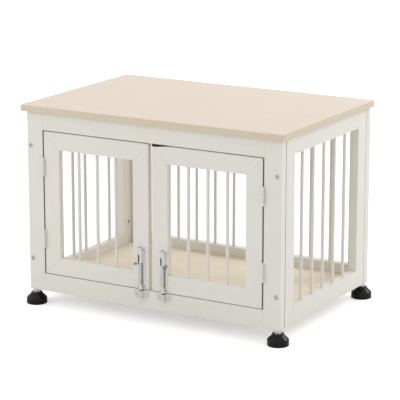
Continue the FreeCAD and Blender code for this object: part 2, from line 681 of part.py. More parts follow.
def fasten_case(sunk, crowned):
    """Frame bolts, barrel nuts, foot inserts, brackets and the case's screws."""
    bolt, nut, insert, bracket = frame_bolt(), barrel_nut(), foot_insert(), angle_bracket()
    bolts, nuts, inserts, brackets, screws = [], [], [], [], []
    for side in ("-", ""):
        for depth, face, turn in (("-", f"({FRONT} + bolt_sink)", TO_BACK), ("", f"({BACK} - bolt_sink)", TO_FRONT)):
            for height in BOLT_HEIGHTS:
                level = f"(foot_height + {height})"
                bolts.append(copy_of(bolt, (f"({side}{BOLT_X})", face, level), turn))
                nuts.append(copy_of(nut, (f"({side}{BOLT_X})", f"({depth}{NUT_Y})", level)))
            inserts.append(copy_of(insert, (f"({side}{FOOT_X})", f"({depth}{FOOT_Y})", "foot_height")))
        inward, outward, spin = (1, TO_LEFT, UPRIGHT) if side else (-1, TO_RIGHT, HALF_TURN)
        face_x = f"({side}{INNER_RIGHT})"
        for step in BRACKET_STEPS:
            brackets.append(copy_of(bracket, (face_x, step, CASE_TOP), spin))
            leg_x = f"({face_x} + {inward} * bracket_leg / 2)"
            head = f"({CASE_TOP} - bracket_thickness - round_head_height)"
            screws.append(copy_of(crowned, (leg_x, step, head)))
            side_x = f"({face_x} + {inward} * (bracket_thickness + round_head_height))"
            screws.append(copy_of(crowned, (side_x, step, LEG_MIDDLE), outward))
    screws += hinge_screws(sunk, "frame", ("-", "")) + catch_screws(sunk) + keeper_screws(crowned)
    group("frame_bolts", bolts)
    group("bolt_nuts", nuts)
    group("foot_inserts", inserts)
    group("top_brackets", brackets)
    group("frame_screws", screws)


def hinge_screws(sunk, leaf, sides):
    """Countersunk screws through one kind of leaf of the hinges on the given sides."""
    screws = []
    for side in sides:
        into_stile = (side == "") == (leaf == "frame")
        turn = TO_RIGHT if into_stile else TO_LEFT
        offset = LEAF_INNER if leaf == "frame" else f"(-{LEAF_INNER})"
        depth = "(frame_leaf_width / 2)" if leaf == "frame" else "(door_thickness / 2)"
        for centre in HINGE_ENDS:
            for step in ("(-hinge_screw_spread / 2)", "(hinge_screw_spread / 2)"):
                at = (f"({side}({HINGE_X} + {offset}))", f"({FRONT} + {depth})", f"({centre} + {step})")
                screws.append(copy_of(sunk, at, turn))
    return screws


def catch_screws(sunk):
    """Two countersunk screws up through the door catch."""
    depth = f"({FRONT} + catch_front_inset + catch_screw_depth)"
    return [copy_of(sunk, (f"({CATCH_X} + {step})", depth, f"({CATCH_Z} - catch_thickness)"))
            for step in CATCH_SCREW_STEPS]


def keeper_screws(crowned):
    """Two round-head screws in each keeper."""
    face = f"({FRONT} - bolt_plate_thickness - round_head_height)"
    return [copy_of(crowned, (f"({rod_x} + {step})", face, KEEPER_MIDDLE), TO_BACK)
            for rod_x in (LEFT_ROD_X, RIGHT_ROD_X) for step in ("(-keeper_screw_x)", "keeper_screw_x")]


# -------------------------------------------------------------------- hinges

def hinge_leaf(name, width, first_knuckle, knuckles, inner_x, turn):
    """A leaf on the pin's axis with every other knuckle; the hinge's middle is at Z = 0."""
    body = new_body(name)
    half = "(-hinge_length / 2)"
    block(body, "Leaf", ("leaf_thickness", width, "hinge_length"), (inner_x, HINGE_LEAD, half))
    low = f"({half} + {first_knuckle} * {KNUCKLE_PITCH} + knuckle_gap / 2)"
    height = f"({KNUCKLE_PITCH} - knuckle_gap)"
    run = f"(2 * {KNUCKLE_PITCH} * ({knuckles} - 1))"
    tab_size = ("leaf_thickness", f"({HINGE_LEAD} / 2 + leaf_thickness)", height)
    tab = block(body, "Tab", tab_size, (inner_x, f"({HINGE_LEAD} / 2)", low))
    row(body, tab, "Z_Axis", run, knuckles)
    knuckle = cylinder(body, "Knuckle", "hinge_barrel_radius", height, ("0", "0", low))
    row(body, knuckle, "Z_Axis", run, knuckles)
    bore(body, "PinBore", PIN_BORE, "hinge_length", ("0", "0", half))
    edge = LEAF_INNER if turn is TO_RIGHT else f"(-{LEAF_INNER})"
    for step in ("(-hinge_screw_spread / 2)", "(hinge_screw_spread / 2)"):
        at = (edge, f"({HINGE_LEAD} + {width} / 2)", step)
        bore(body, "ScrewHole", SCREW_HOLE, "leaf_thickness", at, turn)
        sink = feature(body, "Cone", "Countersink", at, turn, True)
        bind(sink, Radius1="(screw_head_radius + screw_fit)", Radius2=SCREW_HOLE, Height="screw_head_depth")
    return body


def hinge_pin():
    """Pin with a head at each end; the hinge's middle is at Z = 0."""
    body = new_body("HingePin")
    half = "(hinge_length / 2)"
    cylinder(body, "Shank", "hinge_pin_radius", "hinge_length", ("0", "0", f"(-{half})"))
    cylinder(body, "Head", "pin_head_radius", "pin_head_height", ("0", "0", half))
    cylinder(body, "Foot", "pin_head_radius", "pin_head_height", ("0", "0", f"(-{half} - pin_head_height)"))
    return body


def hinges():
    """Two butt hinges for each door, the same leaves turned end for end on the left."""
    frame_leaf = hinge_leaf("FrameLeaf", "frame_leaf_width", 0, "((knuckle_count + 1) / 2)", LEAF_INNER,
                            TO_RIGHT)
    door_leaf = hinge_leaf("DoorLeaf", "door_thickness", 1, "((knuckle_count - 1) / 2)",
                           f"(-{LEAF_INNER} - leaf_thickness)", TO_LEFT)
    pin = hinge_pin()
    frame_leaves, pins = [], []
    for side, turn, label in (("-", END_FOR_END, "left"), ("", UPRIGHT, "right")):
        places = [(f"({side}{HINGE_X})", HINGE_Y, centre) for centre in HINGE_ENDS]
        frame_leaves += [copy_of(frame_leaf, at, turn) for at in places]
        pins += [copy_of(pin, at) for at in places]
        group(f"{label}_door_hinge_leaves", [copy_of(door_leaf, at, turn) for at in places])
    group("frame_hinge_leaves", frame_leaves)
    group("hinge_pins", pins)


# --------------------------------------------------------------------- doors

def mitred_member(label, length, at, turn):
    """A board with 45 degree ends: X along its outer edge, Y inward, Z through it."""
    body = node(new_body(label, at, turn))
    member = body.newObject("PartDesign::AdditiveWedge", "Member")
    bind(member, Xmin="0", Xmax=length, Ymin="0", Ymax="door_member", Zmin="0", Zmax="door_thickness",
         X2min="door_member", X2max=f"({length} - door_member)", Z2min="0", Z2max="door_thickness")
    return body


def door(side):
    """One door: four mitred members and its bars."""
    start = f"(-{DOOR_OUTER})" if side == "left" else "(meeting_gap / 2)"
    end = f"({start} + {DOOR_WIDTH})"
    back = f"({FRONT} + door_thickness)"
    up_left = Rotation(Z, X, Y, "XYZ")
    down_right = Rotation(-Z, -X, Y, "XYZ")
    names = ("hinge_stile", "latch_stile") if side == "left" else ("latch_stile", "hinge_stile")
    left = mitred_member(f"{side}_door_{names[0]}", DOOR_HEIGHT, (start, FRONT, DOOR_BOTTOM), up_left)
    right = mitred_member(f"{side}_door_{names[1]}", DOOR_HEIGHT, (end, FRONT, DOOR_TOP), down_right)
    low = mitred_member(f"{side}_door_bottom_rail", DOOR_WIDTH, (start, back, DOOR_BOTTOM), TO_FRONT)
    high = mitred_member(f"{side}_door_top_rail", DOOR_WIDTH, (start, FRONT, DOOR_TOP), TO_BACK)
    pitch = f"({DOOR_WINDOW_WIDTH} / (door_bar_count + 1))"
    for member, depth in ((low, "bar_seat"), (high, TOP_SEAT)):
        at = (f"(door_member + {pitch})", "door_member", "(door_thickness / 2)")
        hole = bore(member, "BarHole", BAR_HOLE, depth, at, TO_FRONT)
        row(member, hole, "X_Axis", f"({pitch} * (door_bar_count - 1))", "door_bar_count")
    bars_at = (f"({start} + door_member)", f"({FRONT} + door_thickness / 2)", f"({DOOR_BOTTOM} + door_member)")
    bars(f"{side}_door_bars", bars_at, DOOR_WINDOW_WIDTH, DOOR_WINDOW_HEIGHT, "door_bar_count")
    hinge_side, latch_side = (left, right) if side == "left" else (right, left)
    for centre in ("(-hinge_spread / 2)", "(hinge_spread / 2)"):
        for step in ("(-hinge_screw_spread / 2)", "(hinge_screw_spread / 2)"):
            at = (f"({DOOR_HEIGHT} / 2 + {centre} + {step})", "0", "(door_thickness / 2)")
            bore(hinge_side, "HingeScrewHole", SCREW_HOLE, "screw_length", at, TO_BACK)
    plate_screw_holes(side, latch_side, low)
    if side == "right":
        catch_relief(high, [("0", "0"), ("catch_width", "0"), ("0", "relief_depth")])
        catch_relief(latch_side, [(DOOR_HEIGHT, "0"), (DOOR_HEIGHT, "catch_width"),
                                  (f"({DOOR_HEIGHT} - relief_depth)", "0")])


def catch_relief(body, corners):
    """Tapered relief for the catch's lip, right through a door member."""
    outline = profile(body, "ReliefOutline", "XY_Plane", corners)
    relief = body.newObject("PartDesign::Pocket", "Relief")
    relief.Profile = outline
    relief.Type = "ThroughAll"
    relief.Reversed = True


def plate_screw_holes(side, latch_side, low):
    """Pilot holes for the bolt plate: upper ones in the stile, lower ones past the mitre."""
    depth = "(round_screw_length + screw_tip)"
    lower, upper = (f"(bolt_plate_lift + {level})" for level in PLATE_SCREW_ENDS)
    for step in ("(-plate_screw_x)", "plate_screw_x"):
        inset = f"({side}_rod_inset + {step})"
        up = f"({DOOR_HEIGHT} - {upper})" if side == "left" else upper
        bore(latch_side, "PlateScrewHole", SCREW_HOLE, depth, (up, inset, "0"))
        across = f"({DOOR_WIDTH} - {inset})" if side == "left" else inset
        bore(low, "PlateScrewHole", SCREW_HOLE, depth, (across, lower, "door_thickness"), DOWN)


def door_screws(side, rod_x, sunk, crowned):
    """The hinge screws and bolt plate screws of one door."""
    screws = hinge_screws(sunk, "door", ("-",) if side == "left" else ("",))
    face = f"({FRONT} - bolt_plate_thickness - round_head_height)"
    for level in PLATE_SCREW_ENDS:
        for step in ("(-plate_screw_x)", "plate_screw_x"):
            at = (f"({rod_x} + {step})", face, f"({PLATE_BOTTOM} + {level})")
            screws.append(copy_of(crowned, at, TO_BACK))
    group(f"{side}_door_screws", screws)


# --------------------------------------------------------------- tower bolts

def bolt_guide(body, name, bottom, height):
    """Half-round housing standing off the plate round the rod's axis."""
    width = "(2 * barrel_radius)"
    block(body, f"{name}Web", (width, "rod_offset", height), ("(-barrel_radius)", "(-rod_offset)", bottom))
    cylinder(body, name, "barrel_radius", height, ("0", "(-rod_offset)", bottom))


def bolt_plate(side, rod_x):
    """Back plate with the slotted upper barrel and the lower guide."""
    body = node(new_body(f"{side}_door_bolt_plate", (rod_x, FRONT, PLATE_BOTTOM)))
    plate = block(body, "Plate", ("bolt_plate_width", "bolt_plate_thickness", "bolt_plate_height"),
                  ("(-bolt_plate_width / 2)", "(-bolt_plate_thickness)", "0"))
    rounded(body, plate, "plate_corner_radius", runs_along(Y))
    bolt_guide(body, "Barrel", BARREL_BOTTOM, "barrel_height")
    bolt_guide(body, "Guide", "0", "guide_height")
    bore(body, "RodBore", "(rod_radius + rod_fit)", "bolt_plate_height", ("0", "(-rod_offset)", "0"))
    slot = block(body, "Slot", ("(2 * barrel_radius)", "slot_width", "slot_height"), cut=True)
    slot.Placement.Rotation = Rotation(Z, 1)
    slot.setExpression("Placement.Rotation.Angle", named("slot_angle"))
    bind(slot, x="(slot_width / 2 * sin(slot_angle))", y="(-rod_offset - slot_width / 2 * cos(slot_angle))",
         z=BARREL_BOTTOM)
    for level in PLATE_SCREW_ENDS:
        for step in ("(-plate_screw_x)", "plate_screw_x"):
            bore(body, "ScrewHole", SCREW_HOLE, "bolt_plate_thickness",
                 (step, "(-bolt_plate_thickness)", level), TO_BACK)


def bolt_rod(side, rod_x):
    """Round rod, drawn just clear of its keeper."""
    body = node(new_body(f"{side}_bolt_rod", (rod_x, ROD_Y, ROD_BOTTOM)))
    shank = cylinder(body, "Shank", "rod_radius", "rod_length")
    DOC.recompute()
    ends = [f"Edge{index}" for index, edge in enumerate(shank.Shape.Edges, start=1)
            if edge.Curve.TypeId == "Part::GeomCircle"]
    chamfer = body.newObject("PartDesign::Chamfer", "RodEnds")
    chamfer.Base = (shank, ends)
    bind(chamfer, Size="rod_tip_chamfer")


def bolt_knob(side, rod_x):
    """Ball knob on a stem that comes out sideways from the rod."""
    body = node(new_body(f"{side}_bolt_knob", (rod_x, ROD_Y, KNOB_Z)))
    body.Placement.Rotation = Rotation(Z, 1)
    body.setExpression("Placement.Rotation.Angle", named(f"{side}_knob_angle"))
    cylinder(body, "Stem", "stem_radius", "(knob_reach - rod_radius / 2)", ("(rod_radius / 2)", "0", "0"),
             TO_RIGHT)
    ball = feature(body, "Sphere", "Ball", ("knob_reach", "0", "0"), UPRIGHT, False)
    bind(ball, Radius="knob_radius")
    bore(body, "RodSeat", "(rod_radius + stem_fit)", "(2 * knob_radius)", ("0", "0", "(-knob_radius)"))


def keepers():
    """The two keepers that the rods drop into."""
    keeper = new_body("Keeper")
    half = "(-keeper_width / 2)"
    block(keeper, "Plate", ("keeper_width", "bolt_plate_thickness", "keeper_height"),
          (half, "(-bolt_plate_thickness)", "0"))
    bolt_guide(keeper, "Loop", "0", "keeper_height")
    bore(keeper, "RodBore", "(rod_radius + keeper_bore_room)", "keeper_height", ("0", "(-rod_offset)", "0"))
    for step in ("(-keeper_screw_x)", "keeper_screw_x"):
        bore(keeper, "ScrewHole", SCREW_HOLE, "bolt_plate_thickness",
             (step, "(-bolt_plate_thickness)", "(keeper_height / 2)"), TO_BACK)
    group("bolt_keepers", [copy_of(keeper, (rod_x, FRONT, KEEPER_BOTTOM)) for rod_x in (LEFT_ROD_X, RIGHT_ROD_X)])


def door_catch():
    """Moulded stop under the top rail: a leg behind the right door and a lip in its relief."""
    leg_y = "(door_thickness + catch_door_gap - catch_front_inset)"
    at = (CATCH_X, f"({FRONT} + catch_front_inset)", f"({CATCH_Z} - catch_thickness)")
    body = node(new_body("door_catch", at))
    block(body, "Plate", ("catch_width", "catch_depth", "catch_thickness"))
    block(body, "Leg", ("catch_width", "catch_leg_thickness", "catch_leg_drop"), ("0", leg_y, "(-catch_leg_drop)"))
    edge = "(catch_thickness - door_top_gap + catch_lip_room)"
    outline = profile(body, "LipOutline", "XZ_Plane", [
        ("0", f"({edge} - relief_depth)"), ("catch_width", edge), ("catch_width", "catch_thickness"),
        ("0", "catch_thickness")])
    lip = body.newObject("PartDesign::Pad", "Lip")
    lip.Profile = outline
    bind(lip, Length="catch_lip_thickness")
    for step in CATCH_SCREW_STEPS:
        at = (step, "catch_screw_depth", "0")
        bore(body, "ScrewHole", SCREW_HOLE, "catch_thickness", at)
        sink = feature(body, "Cone", "Countersink", at, UPRIGHT, True)
        bind(sink, Radius1="(screw_head_radius + screw_fit)", Radius2=SCREW_HOLE, Height="screw_head_depth")


# ---------------------------------------------------------------------- feet

def levelling_foot(name, x_sign, y_sign):
    """A moulded pad and the steel stud that turns in it."""
    at = (f"({x_sign}{FOOT_X})", f"({y_sign}{FOOT_Y})", "0")
    pad = node(new_body(f"foot_{name}_pad", at))
    body = turned(pad, "Pad", [
        ("0", "0"), ("pad_radius", "0"), ("pad_radius", "pad_rim_height"),
        ("pad_collar_radius", "pad_cone_height"), ("pad_collar_radius", "pad_height"), ("0", "pad_height")])
    sole = rounded(pad, body, "pad_sole_round", circle("pad_radius", "0"))
    rounded(pad, sole, "pad_shoulder_round", circle("pad_radius", "pad_rim_height"))
    bore(pad, "StudSocket", "(stud_radius + stud_fit)", "pad_bore_depth",
         ("0", "0", "(pad_height - pad_bore_depth)"))
    stud = node(new_body(f"foot_{name}_stud", at))
    bottom = "(pad_height - pad_bore_depth + hex_gap)"
    cylinder(stud, "Stud", "stud_radius", f"(foot_height + stud_rise - {bottom})", ("0", "0", bottom))
    nut = feature(stud, "Prism", "Hexagon", ("0", "0", "(pad_height + hex_gap)"), UPRIGHT, False)
    nut.Polygon = 6
    bind(nut, Circumradius="(hex_flats / sqrt(3))", Height="(foot_height - pad_height - 2 * hex_gap)")


# --------------------------------------------------------------------- build

def model():
    tabletop()
    front_and_back_frames()
    side_panel("left")
    side_panel("right")
    floor()
    sunk, crowned = countersunk_screw(), round_screw()
    hinges()
    for side, rod_x in (("left", LEFT_ROD_X), ("right", RIGHT_ROD_X)):
        door(side)
        door_screws(side, rod_x, sunk, crowned)
        bolt_plate(side, rod_x)
        bolt_rod(side, rod_x)
        bolt_knob(side, rod_x)
    keepers()
    door_catch()
    fasten_case(sunk, crowned)
    for depth, y_sign in (("front", "-"), ("back", "")):
        for side, x_sign in (("left", "-"), ("right", "")):
            levelling_foot(f"{depth}_{side}", x_sign, y_sign)
    DOC.recompute()


def check():
    """Stop on any failed object or unsound shape."""
    for item in DOC.Objects:
        if {"Invalid", "Error"} & set(item.State):
            raise RuntimeError(f"{item.Label}: {item.State}")
    for item in NODES:
        if item.Shape.isNull() or not item.Shape.isValid() or not item.Shape.Solids:
            raise RuntimeError(f"{item.Label}: unsound shape")


def export():
    """One STEP file per sub-part, under its Label."""
    os.makedirs("parts", exist_ok=True)
    for item in NODES:
        item.Shape.exportStep(f"parts/{item.Label}.step")
    print(f"{len(NODES)} sub-parts, {sum(len(item.Shape.Solids) for item in NODES)} solids")


model()
check()
export()
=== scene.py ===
import json
import math

import bpy
from bpy.props import FloatProperty, FloatVectorProperty, IntProperty, PointerProperty
from mathutils import Matrix, Vector

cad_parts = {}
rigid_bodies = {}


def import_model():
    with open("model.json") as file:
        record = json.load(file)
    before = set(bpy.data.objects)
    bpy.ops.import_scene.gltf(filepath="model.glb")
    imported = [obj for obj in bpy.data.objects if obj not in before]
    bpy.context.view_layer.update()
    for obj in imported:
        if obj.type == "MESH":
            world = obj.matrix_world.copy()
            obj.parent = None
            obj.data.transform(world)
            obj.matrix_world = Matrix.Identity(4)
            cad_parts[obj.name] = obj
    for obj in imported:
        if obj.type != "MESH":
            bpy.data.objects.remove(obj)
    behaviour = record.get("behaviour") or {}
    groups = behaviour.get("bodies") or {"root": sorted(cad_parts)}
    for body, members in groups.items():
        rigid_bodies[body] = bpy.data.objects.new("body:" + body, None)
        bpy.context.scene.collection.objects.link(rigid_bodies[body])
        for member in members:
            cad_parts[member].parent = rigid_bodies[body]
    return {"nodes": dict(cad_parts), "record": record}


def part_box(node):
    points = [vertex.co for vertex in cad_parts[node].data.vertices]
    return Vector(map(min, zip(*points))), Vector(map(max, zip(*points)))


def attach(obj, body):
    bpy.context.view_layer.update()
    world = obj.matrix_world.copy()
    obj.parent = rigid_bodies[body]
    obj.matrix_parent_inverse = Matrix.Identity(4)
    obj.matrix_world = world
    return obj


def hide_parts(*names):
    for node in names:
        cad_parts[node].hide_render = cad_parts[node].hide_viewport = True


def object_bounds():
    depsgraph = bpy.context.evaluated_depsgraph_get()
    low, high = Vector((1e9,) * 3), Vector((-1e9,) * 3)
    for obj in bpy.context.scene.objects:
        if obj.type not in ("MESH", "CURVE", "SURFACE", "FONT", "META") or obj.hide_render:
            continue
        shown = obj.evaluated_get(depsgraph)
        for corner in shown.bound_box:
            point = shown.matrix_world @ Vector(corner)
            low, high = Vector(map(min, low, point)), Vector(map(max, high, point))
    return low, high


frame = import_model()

bl_info = {
    "name": "Dog Crate End Table",
    "version": (1, 0, 0),
    "blender": (4, 5, 0),
    "location": "View3D > Sidebar > Crate Table",
    "description": "Dresses a slatted dog crate end table: eased boards, hardware, feet and finishes",
    "category": "Object",
}

MM = 0.001
CAD_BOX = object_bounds()
SIDES = ("left", "right")
FEET = ("front_left", "front_right", "back_left", "back_right")

# The grooves that part.py cuts where the side panels meet the frames.
SEAM_WIDTH, SEAM_DEPTH, SEAM_SLACK = 2 * MM, 4 * MM, 0.2 * MM

# Steps of (radius, height) in millimetres, from the middle of a screw's head to its tip.
CROWNED_SCREW = ((0.9, 0), (1.55, 0.28), (2.0, 0.75), (2.2, 1.3), (1.4, 1.3), (1.4, 10.3), (0.1, 12.3))
SUNK_SCREW = ((2.7, 0), (1.4, 1.3), (1.4, 12), (0.1, 14))
LONGEST_CROWNED_SCREW = 13 * MM

# Name of a lamp, width, place, and whether shiny pieces reflect it. The settings hold its energy.
LAMPS = (
    ("key", 1.1, (1.95, 1.9, 2.0), True),
    ("fill", 0.9, (-1.7, -2.2, 1.45), True),
    ("back", 1.3, (-0.8, 2.6, 1.9), False),
)
LAMP_AIM = Vector((0, 0, 0.25))


# ------------------------------------------------------------------ settings

class CrateFinishSettings(bpy.types.PropertyGroup):
    """Colours of the table's finishes."""

    paint: FloatVectorProperty(
        name="Case paint", description="Off-white paint on the boards and doors", subtype="COLOR",
        size=3, min=0, max=1, default=(0.81, 0.787, 0.725))
    # Set darker than the case paint: painted shade on the bars.
    bar_paint: FloatVectorProperty(
        name="Bar paint", description="Paint on the round bars", subtype="COLOR",
        size=3, min=0, max=1, default=(0.77, 0.755, 0.705))
    laminate: FloatVectorProperty(
        name="Tabletop", description="Beige laminate on the tabletop", subtype="COLOR",
        size=3, min=0, max=1, default=(0.79, 0.69, 0.57))
    # The edge band is real; its colour is set darker than the laminate as painted shade on the tabletop's
    # sides.
    edge_band: FloatVectorProperty(
        name="Edge band", description="Band glued round the tabletop's edge", subtype="COLOR",
        size=3, min=0, max=1, default=(0.72, 0.62, 0.47))
    # Set lighter than the maple's own colour: painted light for the floor in the crate's shade.
    maple: FloatVectorProperty(
        name="Floor panel", description="Light maple on the crate's floor", subtype="COLOR",
        size=3, min=0, max=1, default=(0.97, 0.88, 0.72))
    hinge_paint: FloatVectorProperty(
        name="Hinge paint", description="Paint on the hinges", subtype="COLOR",
        size=3, min=0, max=1, default=(0.82, 0.80, 0.745))
    chrome: FloatVectorProperty(
        name="Chrome", description="Plating on the tower bolts", subtype="COLOR",
        size=3, min=0, max=1, default=(0.80, 0.79, 0.755))
    rod: FloatVectorProperty(
        name="Rod steel", description="Duller steel of the sliding rods and knobs", subtype="COLOR",
        size=3, min=0, max=1, default=(0.66, 0.67, 0.62))
    zinc: FloatVectorProperty(
        name="Zinc", description="Plating on bolts, screws and studs", subtype="COLOR",
        size=3, min=0, max=1, default=(0.67, 0.66, 0.63))
    black: FloatVectorProperty(
        name="Black plastic", description="Moulded feet and door catch", subtype="COLOR",
        size=3, min=0, max=1, default=(0.006, 0.006, 0.0065))


class CrateShapeSettings(bpy.types.PropertyGroup):
    """Sizes of the rounding and the small forms added to the bare pieces."""

    board_easing: FloatProperty(
        name="Board easing", description="Rounding along the boards' edges", subtype="DISTANCE",
        unit="LENGTH", default=0.6 * MM, min=0, precision=5)
    metal_easing: FloatProperty(
        name="Metal easing", description="Rounding along the edges of pressed metal", subtype="DISTANCE",
        unit="LENGTH", default=0.25 * MM, min=0, precision=5)
    shortest_edge: FloatProperty(
        name="Shortest eased edge", description="Board edges shorter than this stay sharp",
        subtype="DISTANCE", unit="LENGTH", default=12 * MM, min=0)
    thread_pitch: FloatProperty(
        name="Thread pitch", description="Pitch of the levelling studs' thread", subtype="DISTANCE",
        unit="LENGTH", default=1.25 * MM, min=0.2 * MM, precision=5)
    sides: IntProperty(
        name="Pad sides", description="Sides of the feet's round pads", default=96, min=12, max=128)


class CrateStageSettings(bpy.types.PropertyGroup):
    """The camera that the photograph was taken from, and the studio round the table."""

    camera_turn: FloatProperty(
        name="Camera azimuth", description="Turn of the camera to the table's right",
        subtype="ANGLE", unit="ROTATION", default=math.radians(30.177))
    camera_tilt: FloatProperty(
        name="Camera elevation", description="Angle that the camera looks down at",
        subtype="ANGLE", unit="ROTATION", default=math.radians(13.836))
    camera_place: FloatVectorProperty(
        name="Camera place", description="Where the camera stands", subtype="TRANSLATION",
        unit="LENGTH", size=3, default=(2.2486, -3.8666, 1.3512))
    focal_length: FloatProperty(
        name="Focal length", description="Lens, in millimetres on a 36 mm sensor", default=172.53)
    dome_strength: FloatProperty(
        name="Dome strength", description="Even light from all round", default=0.78, min=0)
    key_energy: FloatProperty(
        name="Key energy", description="Soft light from behind on the right", default=23, min=0, unit="POWER")
    fill_energy: FloatProperty(
        name="Fill energy", description="Soft light on the left of the front", default=10.5, min=0,
        unit="POWER")
    back_energy: FloatProperty(
        name="Back energy", description="Light from behind, through the bars", default=14, min=0,
        unit="POWER")


# ------------------------------------------------------------ modelling tools

def only(*pieces):
    """Leave nothing selected but these objects, the first one active."""
    if bpy.context.object and bpy.context.object.mode != "OBJECT":
        bpy.ops.object.mode_set(mode="OBJECT")
    bpy.ops.object.select_all(action="DESELECT")
    for piece in pieces:
        piece.select_set(True)
    bpy.context.view_layer.objects.active = pieces[0]


def discard(*pieces):
    """Throw away masters and cutting tools."""
    only(*pieces)
    bpy.ops.object.delete()


def finish_piece(piece, name, finish, node):
    """Name a finished piece, give it its finish, and let it ride in place of its CAD node."""
    piece.name = name
    piece.data.name = name
    piece.data.materials.clear()
    piece.data.materials.append(finish)
    record = frame["record"]
    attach(piece, next(body for body, nodes in record["behaviour"]["bodies"].items() if node in nodes))
    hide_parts(node)


def copy_of_node(node):
    """The node's own mesh as a welded piece whose flat faces are whole."""
    only(frame["nodes"][node])
    bpy.ops.object.duplicate()
    piece = bpy.context.object
    bpy.ops.object.parent_clear(type="CLEAR_KEEP_TRANSFORM")
    bpy.ops.object.mode_set(mode="EDIT")
    bpy.ops.mesh.select_all(action="SELECT")
    bpy.ops.mesh.remove_doubles(threshold=0.002 * MM)
    bpy.ops.mesh.dissolve_limited(angle_limit=math.radians(0.5))
    bpy.ops.object.mode_set(mode="OBJECT")
    return piece


def apply_modifier(piece, kind, **settings):
    """Add a modifier by its kind, set it and apply it."""
    only(piece)
    bpy.ops.object.modifier_add(type=kind)
    modifier = piece.modifiers[-1]
    for setting, value in settings.items():
        setattr(modifier, setting, value)
    bpy.ops.object.modifier_apply(modifier=modifier.name)


def round_edges(piece, width, shortest, segments=2):
    """Bevel the sharp straight edges that are at least as long as shortest."""
    mesh = piece.data
    faces_of = {}
    for face in mesh.polygons:
        for key in face.edge_keys:
            faces_of.setdefault(key, []).append(face.normal)
    weights = mesh.attributes.get("bevel_weight_edge")
    if weights is None:
        weights = mesh.attributes.new("bevel_weight_edge", "FLOAT", "EDGE")
    for edge in mesh.edges:
        normals = faces_of.get(tuple(sorted(edge.vertices)), [])
        length = (mesh.vertices[edge.vertices[0]].co - mesh.vertices[edge.vertices[1]].co).length
        sharp = len(normals) == 2 and normals[0].angle(normals[1], 0) > math.radians(30)
        weights.data[edge.index].value = 1.0 if sharp and length >= shortest else 0.0
    apply_modifier(piece, "BEVEL", width=width, segments=segments, limit_method="WEIGHT",
                   use_clamp_overlap=True)


def smooth(piece, angle=35):
    """Smooth shading across shallow angles, with the flat faces kept flat."""
    only(piece)
    bpy.ops.object.shade_smooth_by_angle(angle=math.radians(angle))
    apply_modifier(piece, "WEIGHTED_NORMAL", keep_sharp=True)


def settle(piece, at, turn=None):
    """Turn and move a piece modelled at the origin, then apply both to its mesh."""
    piece.matrix_world = Matrix.Translation(at) @ (turn or Matrix.Identity(4))
    only(piece)
    bpy.ops.object.transform_apply(location=True, rotation=True, scale=True)


def turned_piece(outline, sides):
    """Turned solid about Z: a disc extruded and scaled up through (radius, height) steps."""
    radius, height = outline[0]
    bpy.ops.object.select_all(action="DESELECT")
    bpy.ops.mesh.primitive_circle_add(vertices=sides, radius=radius, fill_type="NGON",
                                      location=(0, 0, 0))
    piece = bpy.context.object
    bpy.ops.object.mode_set(mode="EDIT")
    bpy.ops.mesh.select_all(action="SELECT")
    bpy.ops.transform.translate(value=(0, 0, height))
    bpy.ops.mesh.flip_normals()
    for next_radius, next_height in outline[1:]:
        bpy.ops.mesh.extrude_region_move(TRANSFORM_OT_translate={"value": (0, 0, next_height - height)})
        scale = next_radius / radius
        bpy.ops.transform.resize(value=(scale, scale, 1), center_override=(0, 0, next_height))
        radius, height = next_radius, next_height
    bpy.ops.mesh.select_all(action="SELECT")
    bpy.ops.mesh.normals_make_consistent(inside=False)
    bpy.ops.object.mode_set(mode="OBJECT")
    return piece


def mesh_copy(piece):
    """Another object with its own mesh."""
    only(piece)
    bpy.ops.object.duplicate()
    return bpy.context.object


def joined(pieces):
    """One object made of several."""
    only(*pieces)
    if len(pieces) > 1:
        bpy.ops.object.join()
    return bpy.context.object


def apply_boolean(piece, tool, operation):
    """Cut or intersect a piece with a tool, and throw the tool away."""
    apply_modifier(piece, "BOOLEAN", object=tool, operation=operation, solver="EXACT")
    discard(tool)
    only(piece)


def arc_steps(centre, radius, start, end, count):
    """Points of an outline round part of a circle, from one angle to another."""
    angles = [math.radians(start + (end - start) * step / count) for step in range(count + 1)]
    return [(centre[0] + radius * math.cos(angle), centre[1] + radius * math.sin(angle)) for angle in angles]


def second_finish(piece, finish, chosen):
    """Give the faces that pass the test another finish."""
    piece.data.materials.append(finish)
    for face in piece.data.polygons:
        if chosen(face):
            face.material_index = 1


def solid_boxes(node):
    """The boxes of the separate solids in a node, in a steady order."""
    piece = copy_of_node(node)
    bpy.ops.object.mode_set(mode="EDIT")
    bpy.ops.mesh.select_all(action="SELECT")
    bpy.ops.mesh.separate(type="LOOSE")
    bpy.ops.object.mode_set(mode="OBJECT")
    solids = list(bpy.context.selected_objects)
    boxes = []
    for solid in solids:
        places = [vertex.co for vertex in solid.data.vertices]
        boxes.append(tuple(Vector(pick(place[part] for place in places) for part in range(3))
                           for pick in (min, max)))
    discard(*solids)
    return sorted(boxes, key=lambda box: tuple(round(value, 5) for value in box[0]))


def box_of(node):
    """Lowest and highest corners of a node at rest."""
    return tuple(Vector(corner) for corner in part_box(node))


def middle(node):
    """Centre of a node's box."""
    low, high = box_of(node)
    return (low + high) / 2


def foot_of(low, high):
    """Middle of the bottom of a box."""
    return Vector(((low.x + high.x) / 2, (low.y + high.y) / 2, low.z))


def longest_part(size):
    """Which of three sizes is the greatest: 0, 1 or 2."""
    return max(range(3), key=lambda part: size[part])


def ease_node(node, finish, width, shortest):
    """Stand a copy with rounded edges in a node's place."""
    piece = copy_of_node(node)
    round_edges(piece, width, shortest)
    smooth(piece)
    finish_piece(piece, f"eased_{node}", finish, node)
    return piece


AXIS_TURNS = {
    "+Z": Matrix.Identity(4),
    "-Z": Matrix.Rotation(math.pi, 4, "X"),
    "+Y": Matrix.Rotation(-math.pi / 2, 4, "X"),
    "-Y": Matrix.Rotation(math.pi / 2, 4, "X"),
    "+X": Matrix.Rotation(math.pi / 2, 4, "Y"),
    "-X": Matrix.Rotation(-math.pi / 2, 4, "Y"),
}


